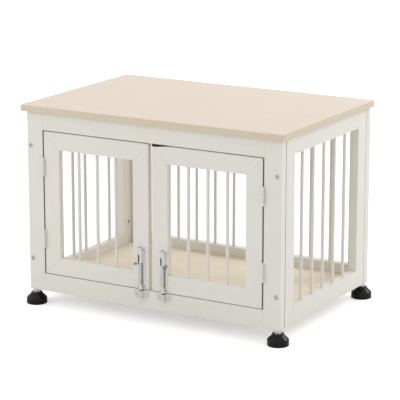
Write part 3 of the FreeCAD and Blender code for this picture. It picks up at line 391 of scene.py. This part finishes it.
# ----------------------------------------------------------------- finishes

class Finish:
    """A material under construction: a Principled shader and the nodes that feed it."""

    def __init__(self, name, colour, roughness, metallic=0.0):
        self.material = bpy.data.materials.new(name)
        if self.material.name != name:
            raise RuntimeError(f"there is already a material named {name}")
        self.material.use_nodes = True
        self.tree = self.material.node_tree
        self.shader = self.tree.nodes["Principled BSDF"]
        self.shader.inputs["Base Color"].default_value = (*colour, 1)
        self.shader.inputs["Roughness"].default_value = roughness
        self.shader.inputs["Metallic"].default_value = metallic
        self.place = self.add("ShaderNodeTexCoord").outputs["Object"]
        self.colour = colour

    def add(self, kind, **settings):
        node = self.tree.nodes.new(kind)
        for setting, value in settings.items():
            setattr(node, setting, value)
        return node

    def join(self, source, target):
        self.tree.links.new(source, target)

    def noise(self, scale, detail=3.0, stretch=(1, 1, 1), roughness=0.55):
        """Noise on Object coordinates, stretched along an axis where stretch is small."""
        mapping = self.add("ShaderNodeMapping")
        mapping.inputs["Scale"].default_value = stretch
        self.join(self.place, mapping.inputs["Vector"])
        noise = self.add("ShaderNodeTexNoise")
        noise.inputs["Scale"].default_value = scale
        noise.inputs["Detail"].default_value = detail
        noise.inputs["Roughness"].default_value = roughness
        self.join(mapping.outputs["Vector"], noise.inputs["Vector"])
        return noise.outputs["Fac"]

    def ramp(self, source, dark, light):
        """Colours between two tones, read from the middle range of a grey source."""
        ramp = self.add("ShaderNodeValToRGB")
        for stop, place, colour in zip(ramp.color_ramp.elements, (0.35, 0.65), (dark, light)):
            stop.position = place
            stop.color = (*colour, 1)
        self.join(source, ramp.inputs["Fac"])
        return ramp.outputs["Color"]

    def tone(self, factor):
        """The finish's colour, lighter or darker."""
        return tuple(min(1.0, channel * factor) for channel in self.colour)

    def mixed(self, factor, first, second):
        """Two colours mixed in a fixed share."""
        mix = self.add("ShaderNodeMix", data_type="RGBA")
        mix.inputs[0].default_value = factor
        self.join(first, mix.inputs[6])
        self.join(second, mix.inputs[7])
        return mix.outputs[2]

    def spread(self, source, low, high):
        """A grey source brought into a range of numbers."""
        spread = self.add("ShaderNodeMapRange")
        spread.inputs["From Min"].default_value = 0.3
        spread.inputs["From Max"].default_value = 0.7
        spread.inputs["To Min"].default_value = low
        spread.inputs["To Max"].default_value = high
        self.join(source, spread.inputs["Value"])
        return spread.outputs["Result"]

    def bump(self, source, height, strength=1.0):
        bump = self.add("ShaderNodeBump")
        bump.inputs["Strength"].default_value = strength
        bump.inputs["Distance"].default_value = height
        self.join(source, bump.inputs["Height"])
        self.join(bump.outputs["Normal"], self.shader.inputs["Normal"])

    def set_colour(self, source):
        self.join(source, self.shader.inputs["Base Color"])

    def set_roughness(self, source):
        self.join(source, self.shader.inputs["Roughness"])


GRAIN = {"X": (0.06, 1, 1), "Y": (1, 0.06, 1), "Z": (1, 1, 0.06)}


def paint_finish(name, colour, axis):
    """Sprayed satin paint, with the board's grain just telling through it."""
    finish = Finish(name, colour, 0.42)
    cloud = finish.noise(7, 2)
    grain = finish.noise(420, 3, GRAIN[axis])
    base = finish.ramp(cloud, finish.tone(0.985), finish.tone(1.01))
    finish.set_colour(finish.mixed(0.10, base, finish.ramp(grain, finish.tone(0.93), finish.tone(1.03))))
    finish.set_roughness(finish.spread(finish.noise(60, 2), 0.38, 0.48))
    stipple = finish.noise(1500, 2)
    finish.bump(finish.mixed(0.35, stipple, grain), 0.05 * MM, 0.35)
    return finish.material


def bar_finish(colour):
    """Smooth paint on the round bars, in a colour darkened as painted shade."""
    finish = Finish("sprayed_bars", colour, 0.36)
    finish.set_colour(finish.ramp(finish.noise(18, 2), finish.tone(0.98), finish.tone(1.01)))
    finish.bump(finish.noise(1100, 2), 0.03 * MM, 0.3)
    return finish.material


def laminate_finish(name, colour, roughness):
    """Smooth beige laminate with faint figure and pores along X."""
    finish = Finish(name, colour, roughness)
    finish.shader.inputs["IOR"].default_value = 1.25
    figure = finish.noise(55, 5, (0.05, 1, 1), 0.62)
    pores = finish.noise(700, 2, (0.04, 1, 1))
    cloud = finish.noise(3.2, 2)
    face = finish.mixed(0.5, finish.ramp(cloud, finish.tone(0.985), finish.tone(1.012)),
                        finish.ramp(figure, finish.tone(0.965), finish.tone(1.02)))
    finish.set_colour(finish.mixed(0.12, face, finish.ramp(pores, finish.tone(0.90), finish.tone(1.02))))
    finish.set_roughness(finish.spread(finish.noise(40, 2), roughness * 0.9, roughness * 1.15))
    finish.bump(finish.mixed(0.5, pores, finish.noise(900, 2)), 0.03 * MM, 0.3)
    return finish.material


def maple_finish(colour):
    """Light maple veneer: soft bands and fine pores along X. Its colour is lifted above the maple's own as
    painted light.
    """
    finish = Finish("floor_maple", colour, 0.45)
    finish.shader.inputs["IOR"].default_value = 1.15
    bands = finish.noise(26, 5, (0.10, 1, 1), 0.6)
    pores = finish.noise(650, 2, (0.035, 1, 1))
    base = finish.ramp(bands, finish.tone(0.93), finish.tone(1.03))
    finish.set_colour(finish.mixed(0.22, base, finish.ramp(pores, finish.tone(0.82), finish.tone(1.03))))
    finish.set_roughness(finish.spread(bands, 0.40, 0.52))
    finish.bump(pores, 0.04 * MM, 0.4)
    return finish.material


def plated_finish(name, colour, roughness, brush):
    """Bright plating with fine uneven polish."""
    finish = Finish(name, colour, roughness, metallic=1.0)
    haze = finish.noise(320, 3, brush)
    finish.set_colour(finish.ramp(haze, finish.tone(0.90), finish.tone(1.04)))
    finish.set_roughness(finish.spread(haze, roughness * 0.7, roughness * 1.4))
    finish.bump(finish.noise(2200, 2, brush), 0.01 * MM, 0.25)
    return finish.material


def moulded_finish(name, colour, roughness):
    """Black moulded plastic with a faint mould texture."""
    finish = Finish(name, colour, roughness)
    finish.shader.inputs["IOR"].default_value = 1.3
    finish.set_colour(finish.ramp(finish.noise(40, 2), finish.tone(0.8), finish.tone(1.5)))
    finish.set_roughness(finish.spread(finish.noise(90, 2), roughness * 0.85, roughness * 1.25))
    finish.bump(finish.noise(1800, 2), 0.02 * MM, 0.3)
    return finish.material


def finishes():
    """Every finish by name, made once from the scene's settings."""
    made = bpy.data.materials
    colours = bpy.context.scene.crate_finish
    if "paint_x" not in made:
        for axis in "XYZ":
            paint_finish(f"paint_{axis.lower()}", tuple(colours.paint), axis)
        # Painted shade: the bars' paint is darker than the case paint.
        bar_finish(tuple(colours.bar_paint))
        laminate_finish("beige_laminate", tuple(colours.laminate), 0.38)
        # Real edge band, its colour darkened as painted shade on the sides.
        laminate_finish("edge_band", tuple(colours.edge_band), 0.42)
        # Painted light: the floor's colour is lifted above the maple's own.
        maple_finish(tuple(colours.maple))
        paint_finish("sprayed_hinges", tuple(colours.hinge_paint), "Z")
        plated_finish("bright_chrome", tuple(colours.chrome), 0.16, (1, 1, 0.2))
        plated_finish("rod_steel", tuple(colours.rod), 0.42, (1, 1, 0.2))
        # Painted dark reflection: the knob is the rod steel darkened to 0.4.
        plated_finish("knob_steel", tuple(0.4 * part for part in colours.rod), 0.24, (1, 1, 1))
        plated_finish("zinc_plate", tuple(colours.zinc), 0.30, (1, 1, 1))
        # Painted shade: near-black for the part of the rod inside the barrel.
        moulded_finish("blackened_steel", (0.02, 0.019, 0.017), 0.5)
        # Painted shade: the seam grooves get paint at 0.12 of the case paint, the door gaps' edges at 0.6 of
        # it.
        for name, shade in (("bare_groove", 0.12), ("primed_edge", 0.6)):
            paint_finish(name, tuple(shade * part for part in colours.paint), "Z")
        moulded_finish("black_gloss", tuple(colours.black), 0.14)
        moulded_finish("black_satin", tuple(colours.black), 0.45)
    return made


# ---------------------------------------------------------------- operators

def board_axis(node):
    """The axis that a board runs along, from its box."""
    low, high = box_of(node)
    return "xyz"[longest_part(high - low)]


class CRATE_OT_boards(bpy.types.Operator):
    """Ease the edges of every painted board, give it paint along its grain, and paint shade into the side
    seams and the door gaps
    """

    bl_idname = "crate.boards"
    bl_label = "Boards"

    def execute(self, context):
        shape = context.scene.crate_shape
        made = finishes()
        for node in sorted(frame["nodes"]):
            if not node.endswith(("_stile", "_rail")):
                continue
            paint = made[f"paint_{board_axis(node)}"]
            piece = ease_node(node, paint, shape.board_easing, shape.shortest_edge)
            if node.endswith("_side_front_stile"):
                # Painted shade: the faces down in the seam groove get near-black paint.
                second_finish(piece, made["bare_groove"], lambda face: in_the_seam(face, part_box(node)))
            elif node.endswith("_hinge_stile"):
                # Painted shade: the hinge stile's outer edge, facing the frame across the gap, gets darker
                # paint.
                second_finish(piece, made["primed_edge"], lambda face: turned_outwards(face) > 0.9)
            elif node in ("front_left_stile", "front_right_stile"):
                # Painted shade: the frame stile's inner edge, facing the door across the gap, gets darker
                # paint.
                second_finish(piece, made["primed_edge"], lambda face: turned_outwards(face) < -0.9)
        return {"FINISHED"}


def in_the_seam(face, box):
    """True for a face down in the groove where a side panel's stile meets the front frame."""
    outer, end = (max(abs(corner[part]) for corner in box) for part in (0, 1))
    sunk, back = outer - abs(face.center.x), end - abs(face.center.y)
    return 0.5 * MM < sunk < SEAM_DEPTH + SEAM_SLACK and back < SEAM_WIDTH + SEAM_SLACK


def turned_outwards(face):
    """How far a face looks away from the table's middle along X: 1 quite away, -1 quite towards it."""
    return face.normal.x * math.copysign(1, face.center.x)


class CRATE_OT_tabletop(bpy.types.Operator):
    """Smooth the tabletop's rounded edge and lay the band round it"""

    bl_idname = "crate.tabletop"
    bl_label = "Tabletop"

    def execute(self, context):
        made = finishes()
        piece = copy_of_node("tabletop")
        smooth(piece)
        finish_piece(piece, "laid_tabletop", made["beige_laminate"], "tabletop")
        # Faces that look sideways take the edge band, a real band in a colour darkened as painted shade.
        second_finish(piece, made["edge_band"], lambda face: abs(face.normal.z) < 0.35)
        return {"FINISHED"}


class CRATE_OT_floor(bpy.types.Operator):
    """Ease the floor panel and the cleats that carry it"""

    bl_idname = "crate.floor"
    bl_label = "Floor"

    def execute(self, context):
        shape = context.scene.crate_shape
        for node in ("floor_panel", "floor_cleats"):
            # The floor finish carries a colour lifted as painted light.
            ease_node(node, finishes()["floor_maple"], shape.board_easing, shape.shortest_edge)
        return {"FINISHED"}


class CRATE_OT_bars(bpy.types.Operator):
    """Turn the round bars with rounded ends"""

    bl_idname = "crate.bars"
    bl_label = "Round bars"

    def execute(self, context):
        chamfer = 0.4 * MM
        for node in sorted(name for name in frame["nodes"] if name.endswith("_bars")):
            rods = []
            for low, high in solid_boxes(node):
                radius, length = (high.x - low.x) / 2, high.z - low.z
                rod = turned_piece([(radius - chamfer, 0), (radius, chamfer), (radius, length - chamfer),
                                    (radius - chamfer, length)], 40)
                settle(rod, foot_of(low, high))
                rods.append(rod)
            piece = joined(rods)
            smooth(piece)
            finish_piece(piece, f"turned_{node}", finishes()["sprayed_bars"], node)
        return {"FINISHED"}


class CRATE_OT_hinges(bpy.types.Operator):
    """Round the rims of the hinge leaves and knuckles, and dome the pins' heads"""

    bl_idname = "crate.hinges"
    bl_label = "Hinges"

    def execute(self, context):
        easing = context.scene.crate_shape.metal_easing
        finish = finishes()["sprayed_hinges"]
        for node in ("frame_hinge_leaves", "left_door_hinge_leaves", "right_door_hinge_leaves"):
            ease_node(node, finish, easing, 0.1 * MM)
        self.pins(finish)
        return {"FINISHED"}

    def pins(self, finish):
        """Pins with a domed head at each end."""
        pins = []
        for low, high in solid_boxes("hinge_pins"):
            head, length = (high.x - low.x) / 2, high.z - low.z
            shank, rim = 2 * MM, 1 * MM
            pin = turned_piece([(head * 0.45, 0), (head * 0.85, rim * 0.35), (head, rim * 0.8), (head, rim),
                                (shank, rim), (shank, length - rim), (head, length - rim),
                                (head, length - rim * 0.8), (head * 0.85, length - rim * 0.35),
                                (head * 0.45, length)], 40)
            settle(pin, foot_of(low, high))
            pins.append(pin)
        piece = joined(pins)
        smooth(piece)
        finish_piece(piece, "domed_hinge_pins", finish, "hinge_pins")


class CRATE_OT_bolt_plates(bpy.types.Operator):
    """Round the edges of the bolt plates and keepers"""

    bl_idname = "crate.bolt_plates"
    bl_label = "Bolt plates and keepers"

    def execute(self, context):
        easing = context.scene.crate_shape.metal_easing
        for node in ["bolt_keepers"] + [f"{side}_door_bolt_plate" for side in SIDES]:
            ease_node(node, finishes()["bright_chrome"], easing, 0.1 * MM)
        return {"FINISHED"}


class CRATE_OT_bolt_rods(bpy.types.Operator):
    """Turn the sliding rods and their ball knobs"""

    bl_idname = "crate.bolt_rods"
    bl_label = "Bolt rods and knobs"

    def execute(self, context):
        made = finishes()
        for side in SIDES:
            self.rod(side, made)
            # The knobs take the rod steel darkened as a painted dark reflection.
            self.knob(side, made["knob_steel"])
        return {"FINISHED"}

    def rod(self, side, made):
        """Rod with a rounded nose, painted near-black above its knob as shade inside the barrel."""
        node, chamfer = f"{side}_bolt_rod", 0.8 * MM
        low, high = box_of(node)
        radius, length = (high.x - low.x) / 2, high.z - low.z
        shoulder = middle(f"{side}_bolt_knob").z - low.z + 3.4 * MM
        piece = turned_piece([(radius * 0.55, 0), (radius * 0.85, 0.35 * MM), (radius, 1.1 * MM),
                              (radius, shoulder), (radius, length - chamfer), (radius - chamfer, length)], 48)
        settle(piece, foot_of(low, high))
        smooth(piece)
        finish_piece(piece, f"turned_{node}", made["rod_steel"], node)
        # Painted shade: the rod above the knob, inside the barrel, gets the near-black finish.
        second_finish(piece, made["blackened_steel"],
                      lambda face: face.center.z > low.z + shoulder + 0.1 * MM)

    def knob(self, side, finish):
        """Ball on a short arm, its seat hollowed to the rod, turned to the way the CAD one points."""
        node = f"{side}_bolt_knob"
        ball, reach = 3 * MM, 12.5 * MM
        rod = middle(f"{side}_bolt_rod")
        axis = Vector((rod.x, rod.y, middle(node).z))
        outline = [(2 * MM, 1.5 * MM), (2 * MM, 4.2 * MM), (1.55 * MM, 5.0 * MM), (1.5 * MM, 8.6 * MM)]
        outline += arc_steps((0, reach), ball, -58, 84, 12)
        piece = turned_piece(outline, 40)
        settle(piece, Vector(), AXIS_TURNS["+X"])
        seat = turned_piece([(3.05 * MM, -4 * MM), (3.05 * MM, 4 * MM)], 48)
        apply_boolean(piece, seat, "DIFFERENCE")
        corner = max((vertex.co for vertex in frame["nodes"][node].data.vertices),
                     key=lambda place: (place.xy - axis.xy).length)
        turn = math.atan2(corner.y - axis.y, corner.x - axis.x)
        settle(piece, axis, Matrix.Rotation(turn, 4, "Z"))
        smooth(piece, 40)
        finish_piece(piece, f"turned_{node}", finish, node)


class CRATE_OT_screws(bpy.types.Operator):
    """Wood screws with cross recesses, one for every screw of the doors and the case"""

    bl_idname = "crate.screws"
    bl_label = "Screws"

    def execute(self, context):
        crowned, sunk = self.master(CROWNED_SCREW, 0.9 * MM), self.master(SUNK_SCREW, 1.0 * MM)
        for node in ("frame_screws", "left_door_screws", "right_door_screws"):
            copies = []
            for index, (low, high) in enumerate(solid_boxes(node)):
                size = high - low
                along = longest_part(size)
                head, way = head_of_screw(node, low, high, along)
                copy = mesh_copy(crowned if size[along] < LONGEST_CROWNED_SCREW else sunk)
                spin = Matrix.Rotation(math.radians(23 + 41 * index), 4, "Z")
                settle(copy, head, AXIS_TURNS[way + "XYZ"[along]] @ spin)
                copies.append(copy)
            piece = joined(copies)
            smooth(piece)
            finish_piece(piece, f"cross_{node}", finishes()["zinc_plate"], node)
        discard(crowned, sunk)
        return {"FINISHED"}

    def master(self, outline, depth):
        """A screw at the origin, with a cross cut into its head."""
        piece = turned_piece([(radius * MM, height * MM) for radius, height in outline], 32)
        for turn in (0, 90):
            bpy.ops.object.select_all(action="DESELECT")
            bpy.ops.mesh.primitive_cube_add(size=1, location=(0, 0, 0))
            slot = bpy.context.object
            slot.scale = (2.9 * MM, 0.62 * MM, 2 * depth)
            slot.rotation_euler = (0, 0, math.radians(turn))
            only(slot)
            bpy.ops.object.transform_apply(location=True, rotation=True, scale=True)
            apply_boolean(piece, slot, "DIFFERENCE")
        return piece


def head_of_screw(node, low, high, along):
    """Where a screw's head lies, and the sign of the way from it to the tip."""
    centre = (low + high) / 2
    ends = {"+": low[along], "-": high[along]}
    widths = {}
    for way, level in ends.items():
        near = [vertex.co - centre for vertex in frame["nodes"][node].data.vertices
                if abs(vertex.co[along] - level) < 1.35 * MM
                and all(abs(vertex.co[part] - centre[part]) < 3 * MM for part in range(3) if part != along)]
        widths[way] = max((place.length_squared - place[along] ** 2 for place in near), default=0)
    way = max(widths, key=widths.get)
    head = centre.copy()
    head[along] = ends[way]
    return head, way


class CRATE_OT_frame_bolts(bpy.types.Operator):
    """Socket-head bolts with chamfered heads and hexagon sockets"""

    bl_idname = "crate.frame_bolts"
    bl_label = "Frame bolts"

    def execute(self, context):
        head, shank, head_height, length, chamfer = 5 * MM, 3 * MM, 6 * MM, 56 * MM, 0.7 * MM
        master = turned_piece([(head - chamfer, 0), (head, chamfer), (head, head_height),
                               (shank, head_height), (shank, 55.4 * MM), (2.4 * MM, length)], 48)
        apply_boolean(master, hexagon(2.887 * MM, -1 * MM, 3 * MM), "DIFFERENCE")
        copies = []
        for low, high in solid_boxes("frame_bolts"):
            place = (low + high) / 2
            way, place.y = ("+Y", low.y) if place.y < 0 else ("-Y", high.y)
            copy = mesh_copy(master)
            settle(copy, place, AXIS_TURNS[way])
            copies.append(copy)
        discard(master)
        piece = joined(copies)
        smooth(piece)
        finish_piece(piece, "socket_frame_bolts", finishes()["zinc_plate"], "frame_bolts")
        return {"FINISHED"}


def hexagon(radius, bottom, top):
    """Six-sided prism with a corner on +X."""
    bpy.ops.object.select_all(action="DESELECT")
    bpy.ops.mesh.primitive_cylinder_add(
        vertices=6, radius=radius, depth=top - bottom, location=(0, 0, (top + bottom) / 2),
        rotation=(0, 0, math.radians(30)))
    bpy.ops.object.transform_apply(location=True, rotation=True, scale=True)
    return bpy.context.object


class CRATE_OT_feet(bpy.types.Operator):
    """Turn the moulded pads, and cut the studs' threads and hexagons"""

    bl_idname = "crate.feet"
    bl_label = "Levelling feet"

    def execute(self, context):
        made = finishes()
        shape = context.scene.crate_shape
        pad, stud = self.pad(shape.sides), self.stud(shape.thread_pitch)
        for foot in FEET:
            place = middle(f"foot_{foot}_pad")
            for kind, master, finish in (("pad", pad, "black_gloss"), ("stud", stud, "zinc_plate")):
                node = f"foot_{foot}_{kind}"
                copy = mesh_copy(master)
                settle(copy, Vector((place.x, place.y, 0)))
                finish_piece(copy, f"shaped_{node}", made[finish], node)
        discard(pad, stud)
        return {"FINISHED"}

    def pad(self, sides):
        """Sole, rim, sloping shoulder, collar and the socket that the stud stands in."""
        rim, sole_round, shoulder_round, shoulder_level = 25 * MM, 1.5 * MM, 6 * MM, 11.9 * MM
        collar, collar_round, collar_bottom, height = 13.8 * MM, 0.6 * MM, 25 * MM, 28 * MM
        socket, socket_floor = 4.08 * MM, 18 * MM
        outline = arc_steps((rim - sole_round, sole_round), sole_round, -84, 0, 6)
        outline += arc_steps((rim - shoulder_round, shoulder_level), shoulder_round, 0, 46.8, 10)
        outline += [(collar, collar_bottom)]
        outline += arc_steps((collar - collar_round, height - collar_round), collar_round, 0, 90, 4)
        outline += [(4.6 * MM, height), (socket, 27.5 * MM), (socket, socket_floor), (0.2 * MM, socket_floor)]
        piece = turned_piece(outline, sides)
        smooth(piece, 30)
        return piece

    def stud(self, pitch):
        """Hexagon with turned corners between the plain foot and the threaded shank."""
        bottom, top, face, chamfer = 28.3 * MM, 36.7 * MM, 8.7 * MM, 0.7 * MM
        shank_radius, root, foot, tip, thread_start = 4 * MM, 3.35 * MM, 18.3 * MM, 62 * MM, 37.4 * MM
        nut = hexagon(9.815 * MM, bottom, top)
        corners = turned_piece([(face, bottom), (9.9 * MM, bottom + chamfer), (9.9 * MM, top - chamfer),
                                (face, top)], 64)
        apply_boolean(nut, corners, "INTERSECT")
        shank = turned_piece([(3.5 * MM, foot), (shank_radius, 18.8 * MM), (shank_radius, 36.9 * MM),
                              (root, thread_start), (root, 61.6 * MM), (3.0 * MM, tip)], 48)
        piece = joined([nut, shank, self.thread(pitch, thread_start, 61.2 * MM)])
        smooth(piece, 30)
        return piece

    def thread(self, pitch, bottom, top):
        """Helical ridge: a blunt wedge screwed up round the shank, its ends closed."""
        turns = int((top - bottom) / pitch) - 1
        bpy.ops.object.select_all(action="DESELECT")
        bpy.ops.mesh.primitive_plane_add(size=1, location=(0, 0, 0))
        ridge = bpy.context.object
        corners = [(3.2, -0.46), (3.97, -0.06), (3.2, 0.46), (3.97, 0.06)]
        for vertex, (radius, height) in zip(ridge.data.vertices, corners):
            vertex.co = (radius * MM, 0, bottom + (0.6 + height) * MM)
        apply_modifier(ridge, "SCREW", axis="Z", angle=2 * math.pi, screw_offset=pitch, iterations=turns,
                       steps=24, render_steps=24, use_normal_calculate=False)
        only(ridge)
        bpy.ops.object.mode_set(mode="EDIT")
        bpy.ops.mesh.select_all(action="SELECT")
        bpy.ops.mesh.remove_doubles(threshold=0.001 * MM)
        bpy.ops.mesh.select_all(action="DESELECT")
        bpy.ops.mesh.select_non_manifold(extend=False)
        bpy.ops.mesh.edge_face_add()
        bpy.ops.mesh.select_all(action="SELECT")
        bpy.ops.mesh.normals_make_consistent(inside=False)
        bpy.ops.object.mode_set(mode="OBJECT")
        return ridge


class CRATE_OT_catch(bpy.types.Operator):
    """Soften the moulded catch and the pressed brackets"""

    bl_idname = "crate.catch"
    bl_label = "Catch and brackets"

    def execute(self, context):
        easing = context.scene.crate_shape.metal_easing
        made = finishes()
        for node, finish in (("door_catch", "black_satin"), ("top_brackets", "zinc_plate")):
            ease_node(node, made[finish], easing, 0.4 * MM)
        return {"FINISHED"}


# The finish of each material slot of the record.
NODE_FINISHES = {
    "case_paint": "paint_z", "bar_paint": "sprayed_bars", "tabletop_laminate": "beige_laminate",
    "floor_wood": "floor_maple", "hinge_paint": "sprayed_hinges", "bolt_chrome": "bright_chrome",
    "zinc_steel": "zinc_plate", "foot_plastic": "black_gloss", "catch_plastic": "black_satin",
}


class CRATE_OT_node_finishes(bpy.types.Operator):
    """Give every CAD node the finish of its material slot"""

    bl_idname = "crate.node_finishes"
    bl_label = "Node finishes"

    def execute(self, context):
        made = finishes()
        for part in frame["record"]["subparts"]:
            mesh = frame["nodes"][part["node"]].data
            mesh.materials.clear()
            mesh.materials.append(made[NODE_FINISHES[part["material_slot"]]])
        return {"FINISHED"}


class CRATE_OT_stage(bpy.types.Operator):
    """Floor, soft studio light and the photograph's camera"""

    bl_idname = "crate.stage"
    bl_label = "Studio and camera"

    def execute(self, context):
        stage = context.scene.crate_stage
        self.lay_floor()
        self.light_dome(context, stage.dome_strength)
        for name, width, place, reflected in LAMPS:
            self.hang_lamp(f"{name}_lamp", getattr(stage, f"{name}_energy"), width, Vector(place), reflected)
        self.set_camera(context, stage)
        context.scene.view_settings.view_transform = "Standard"
        return {"FINISHED"}

    def lay_floor(self):
        """Pale floor that shows white to the camera and keeps the table's shadow."""
        bpy.ops.object.select_all(action="DESELECT")
        bpy.ops.mesh.primitive_plane_add(size=40, location=(0, 0, CAD_BOX[0][2]))
        floor = bpy.context.object
        floor.name = "studio_floor"
        finish = Finish("studio_floor", (0.88, 0.88, 0.88), 0.9)
        finish.shader.inputs["Specular IOR Level"].default_value = 0.0
        seen = finish.add("ShaderNodeLightPath").outputs["Is Camera Ray"]
        glow = finish.add("ShaderNodeEmission")
        glow.inputs["Strength"].default_value = 0.45
        lifted = finish.add("ShaderNodeAddShader")
        finish.join(finish.shader.outputs[0], lifted.inputs[0])
        finish.join(glow.outputs[0], lifted.inputs[1])
        choice = finish.add("ShaderNodeMixShader")
        finish.join(seen, choice.inputs["Fac"])
        finish.join(finish.shader.outputs[0], choice.inputs[1])
        finish.join(lifted.outputs[0], choice.inputs[2])
        finish.join(choice.outputs[0], finish.tree.nodes["Material Output"].inputs["Surface"])
        floor.data.materials.append(finish.material)

    def light_dome(self, context, strength):
        """Even light from all round, seen as white by the camera and in shiny pieces."""
        world = bpy.data.worlds.new("studio_dome")
        context.scene.world = world
        world.use_nodes = True
        nodes, links = world.node_tree.nodes, world.node_tree.links
        background = nodes["Background"]
        seen = nodes.new("ShaderNodeLightPath")
        white = nodes.new("ShaderNodeBackground")
        white.inputs["Color"].default_value = (1, 1, 1, 1)
        white.inputs["Strength"].default_value = 1.0
        background.inputs["Color"].default_value = (1, 1, 1, 1)
        background.inputs["Strength"].default_value = strength
        direct = nodes.new("ShaderNodeMath")
        direct.operation = "MAXIMUM"
        links.new(seen.outputs["Is Camera Ray"], direct.inputs[0])
        links.new(seen.outputs["Is Glossy Ray"], direct.inputs[1])
        mix = nodes.new("ShaderNodeMixShader")
        links.new(direct.outputs[0], mix.inputs["Fac"])
        links.new(background.outputs[0], mix.inputs[1])
        links.new(white.outputs[0], mix.inputs[2])
        links.new(mix.outputs[0], nodes["World Output"].inputs["Surface"])

    def hang_lamp(self, name, energy, width, place, reflected):
        bpy.ops.object.light_add(type="AREA", location=place)
        lamp = bpy.context.object
        lamp.name = name
        lamp.data.energy = energy
        lamp.data.size = width
        lamp.rotation_euler = (LAMP_AIM - place).to_track_quat("-Z", "Y").to_euler()
        lamp.visible_glossy = reflected

    def set_camera(self, context, stage):
        bpy.ops.object.camera_add(location=stage.camera_place)
        camera = bpy.context.object
        camera.name = "photo_camera"
        camera.rotation_euler = (math.pi / 2 - stage.camera_tilt, 0, stage.camera_turn)
        camera.data.sensor_width = 36
        camera.data.lens = stage.focal_length
        context.scene.camera = camera


class CRATE_PT_panel(bpy.types.Panel):
    """The table's settings and the steps that dress it"""

    bl_idname = "CRATE_PT_panel"
    bl_label = "Dog Crate End Table"
    bl_space_type = "VIEW_3D"
    bl_region_type = "UI"
    bl_category = "Crate Table"

    def draw(self, context):
        for settings in (context.scene.crate_finish, context.scene.crate_shape, context.scene.crate_stage):
            box = self.layout.box()
            for name in settings.__annotations__:
                box.prop(settings, name)
        for step in STEPS:
            self.layout.operator(step.bl_idname)


STEPS = (CRATE_OT_stage, CRATE_OT_node_finishes, CRATE_OT_boards, CRATE_OT_bars, CRATE_OT_tabletop,
         CRATE_OT_floor, CRATE_OT_hinges, CRATE_OT_bolt_plates, CRATE_OT_bolt_rods, CRATE_OT_screws,
         CRATE_OT_frame_bolts, CRATE_OT_catch, CRATE_OT_feet)
SETTINGS = (CrateFinishSettings, CrateShapeSettings, CrateStageSettings)


def register():
    for made in SETTINGS + STEPS + (CRATE_PT_panel,):
        bpy.utils.register_class(made)
    bpy.types.Scene.crate_finish = PointerProperty(type=CrateFinishSettings)
    bpy.types.Scene.crate_shape = PointerProperty(type=CrateShapeSettings)
    bpy.types.Scene.crate_stage = PointerProperty(type=CrateStageSettings)


def unregister():
    del bpy.types.Scene.crate_stage
    del bpy.types.Scene.crate_shape
    del bpy.types.Scene.crate_finish
    for made in reversed(SETTINGS + STEPS + (CRATE_PT_panel,)):
        bpy.utils.unregister_class(made)


def main():
    register()
    for step in STEPS:
        family, action = step.bl_idname.split(".")
        getattr(getattr(bpy.ops, family), action)()


if __name__ == "__main__":
    main()
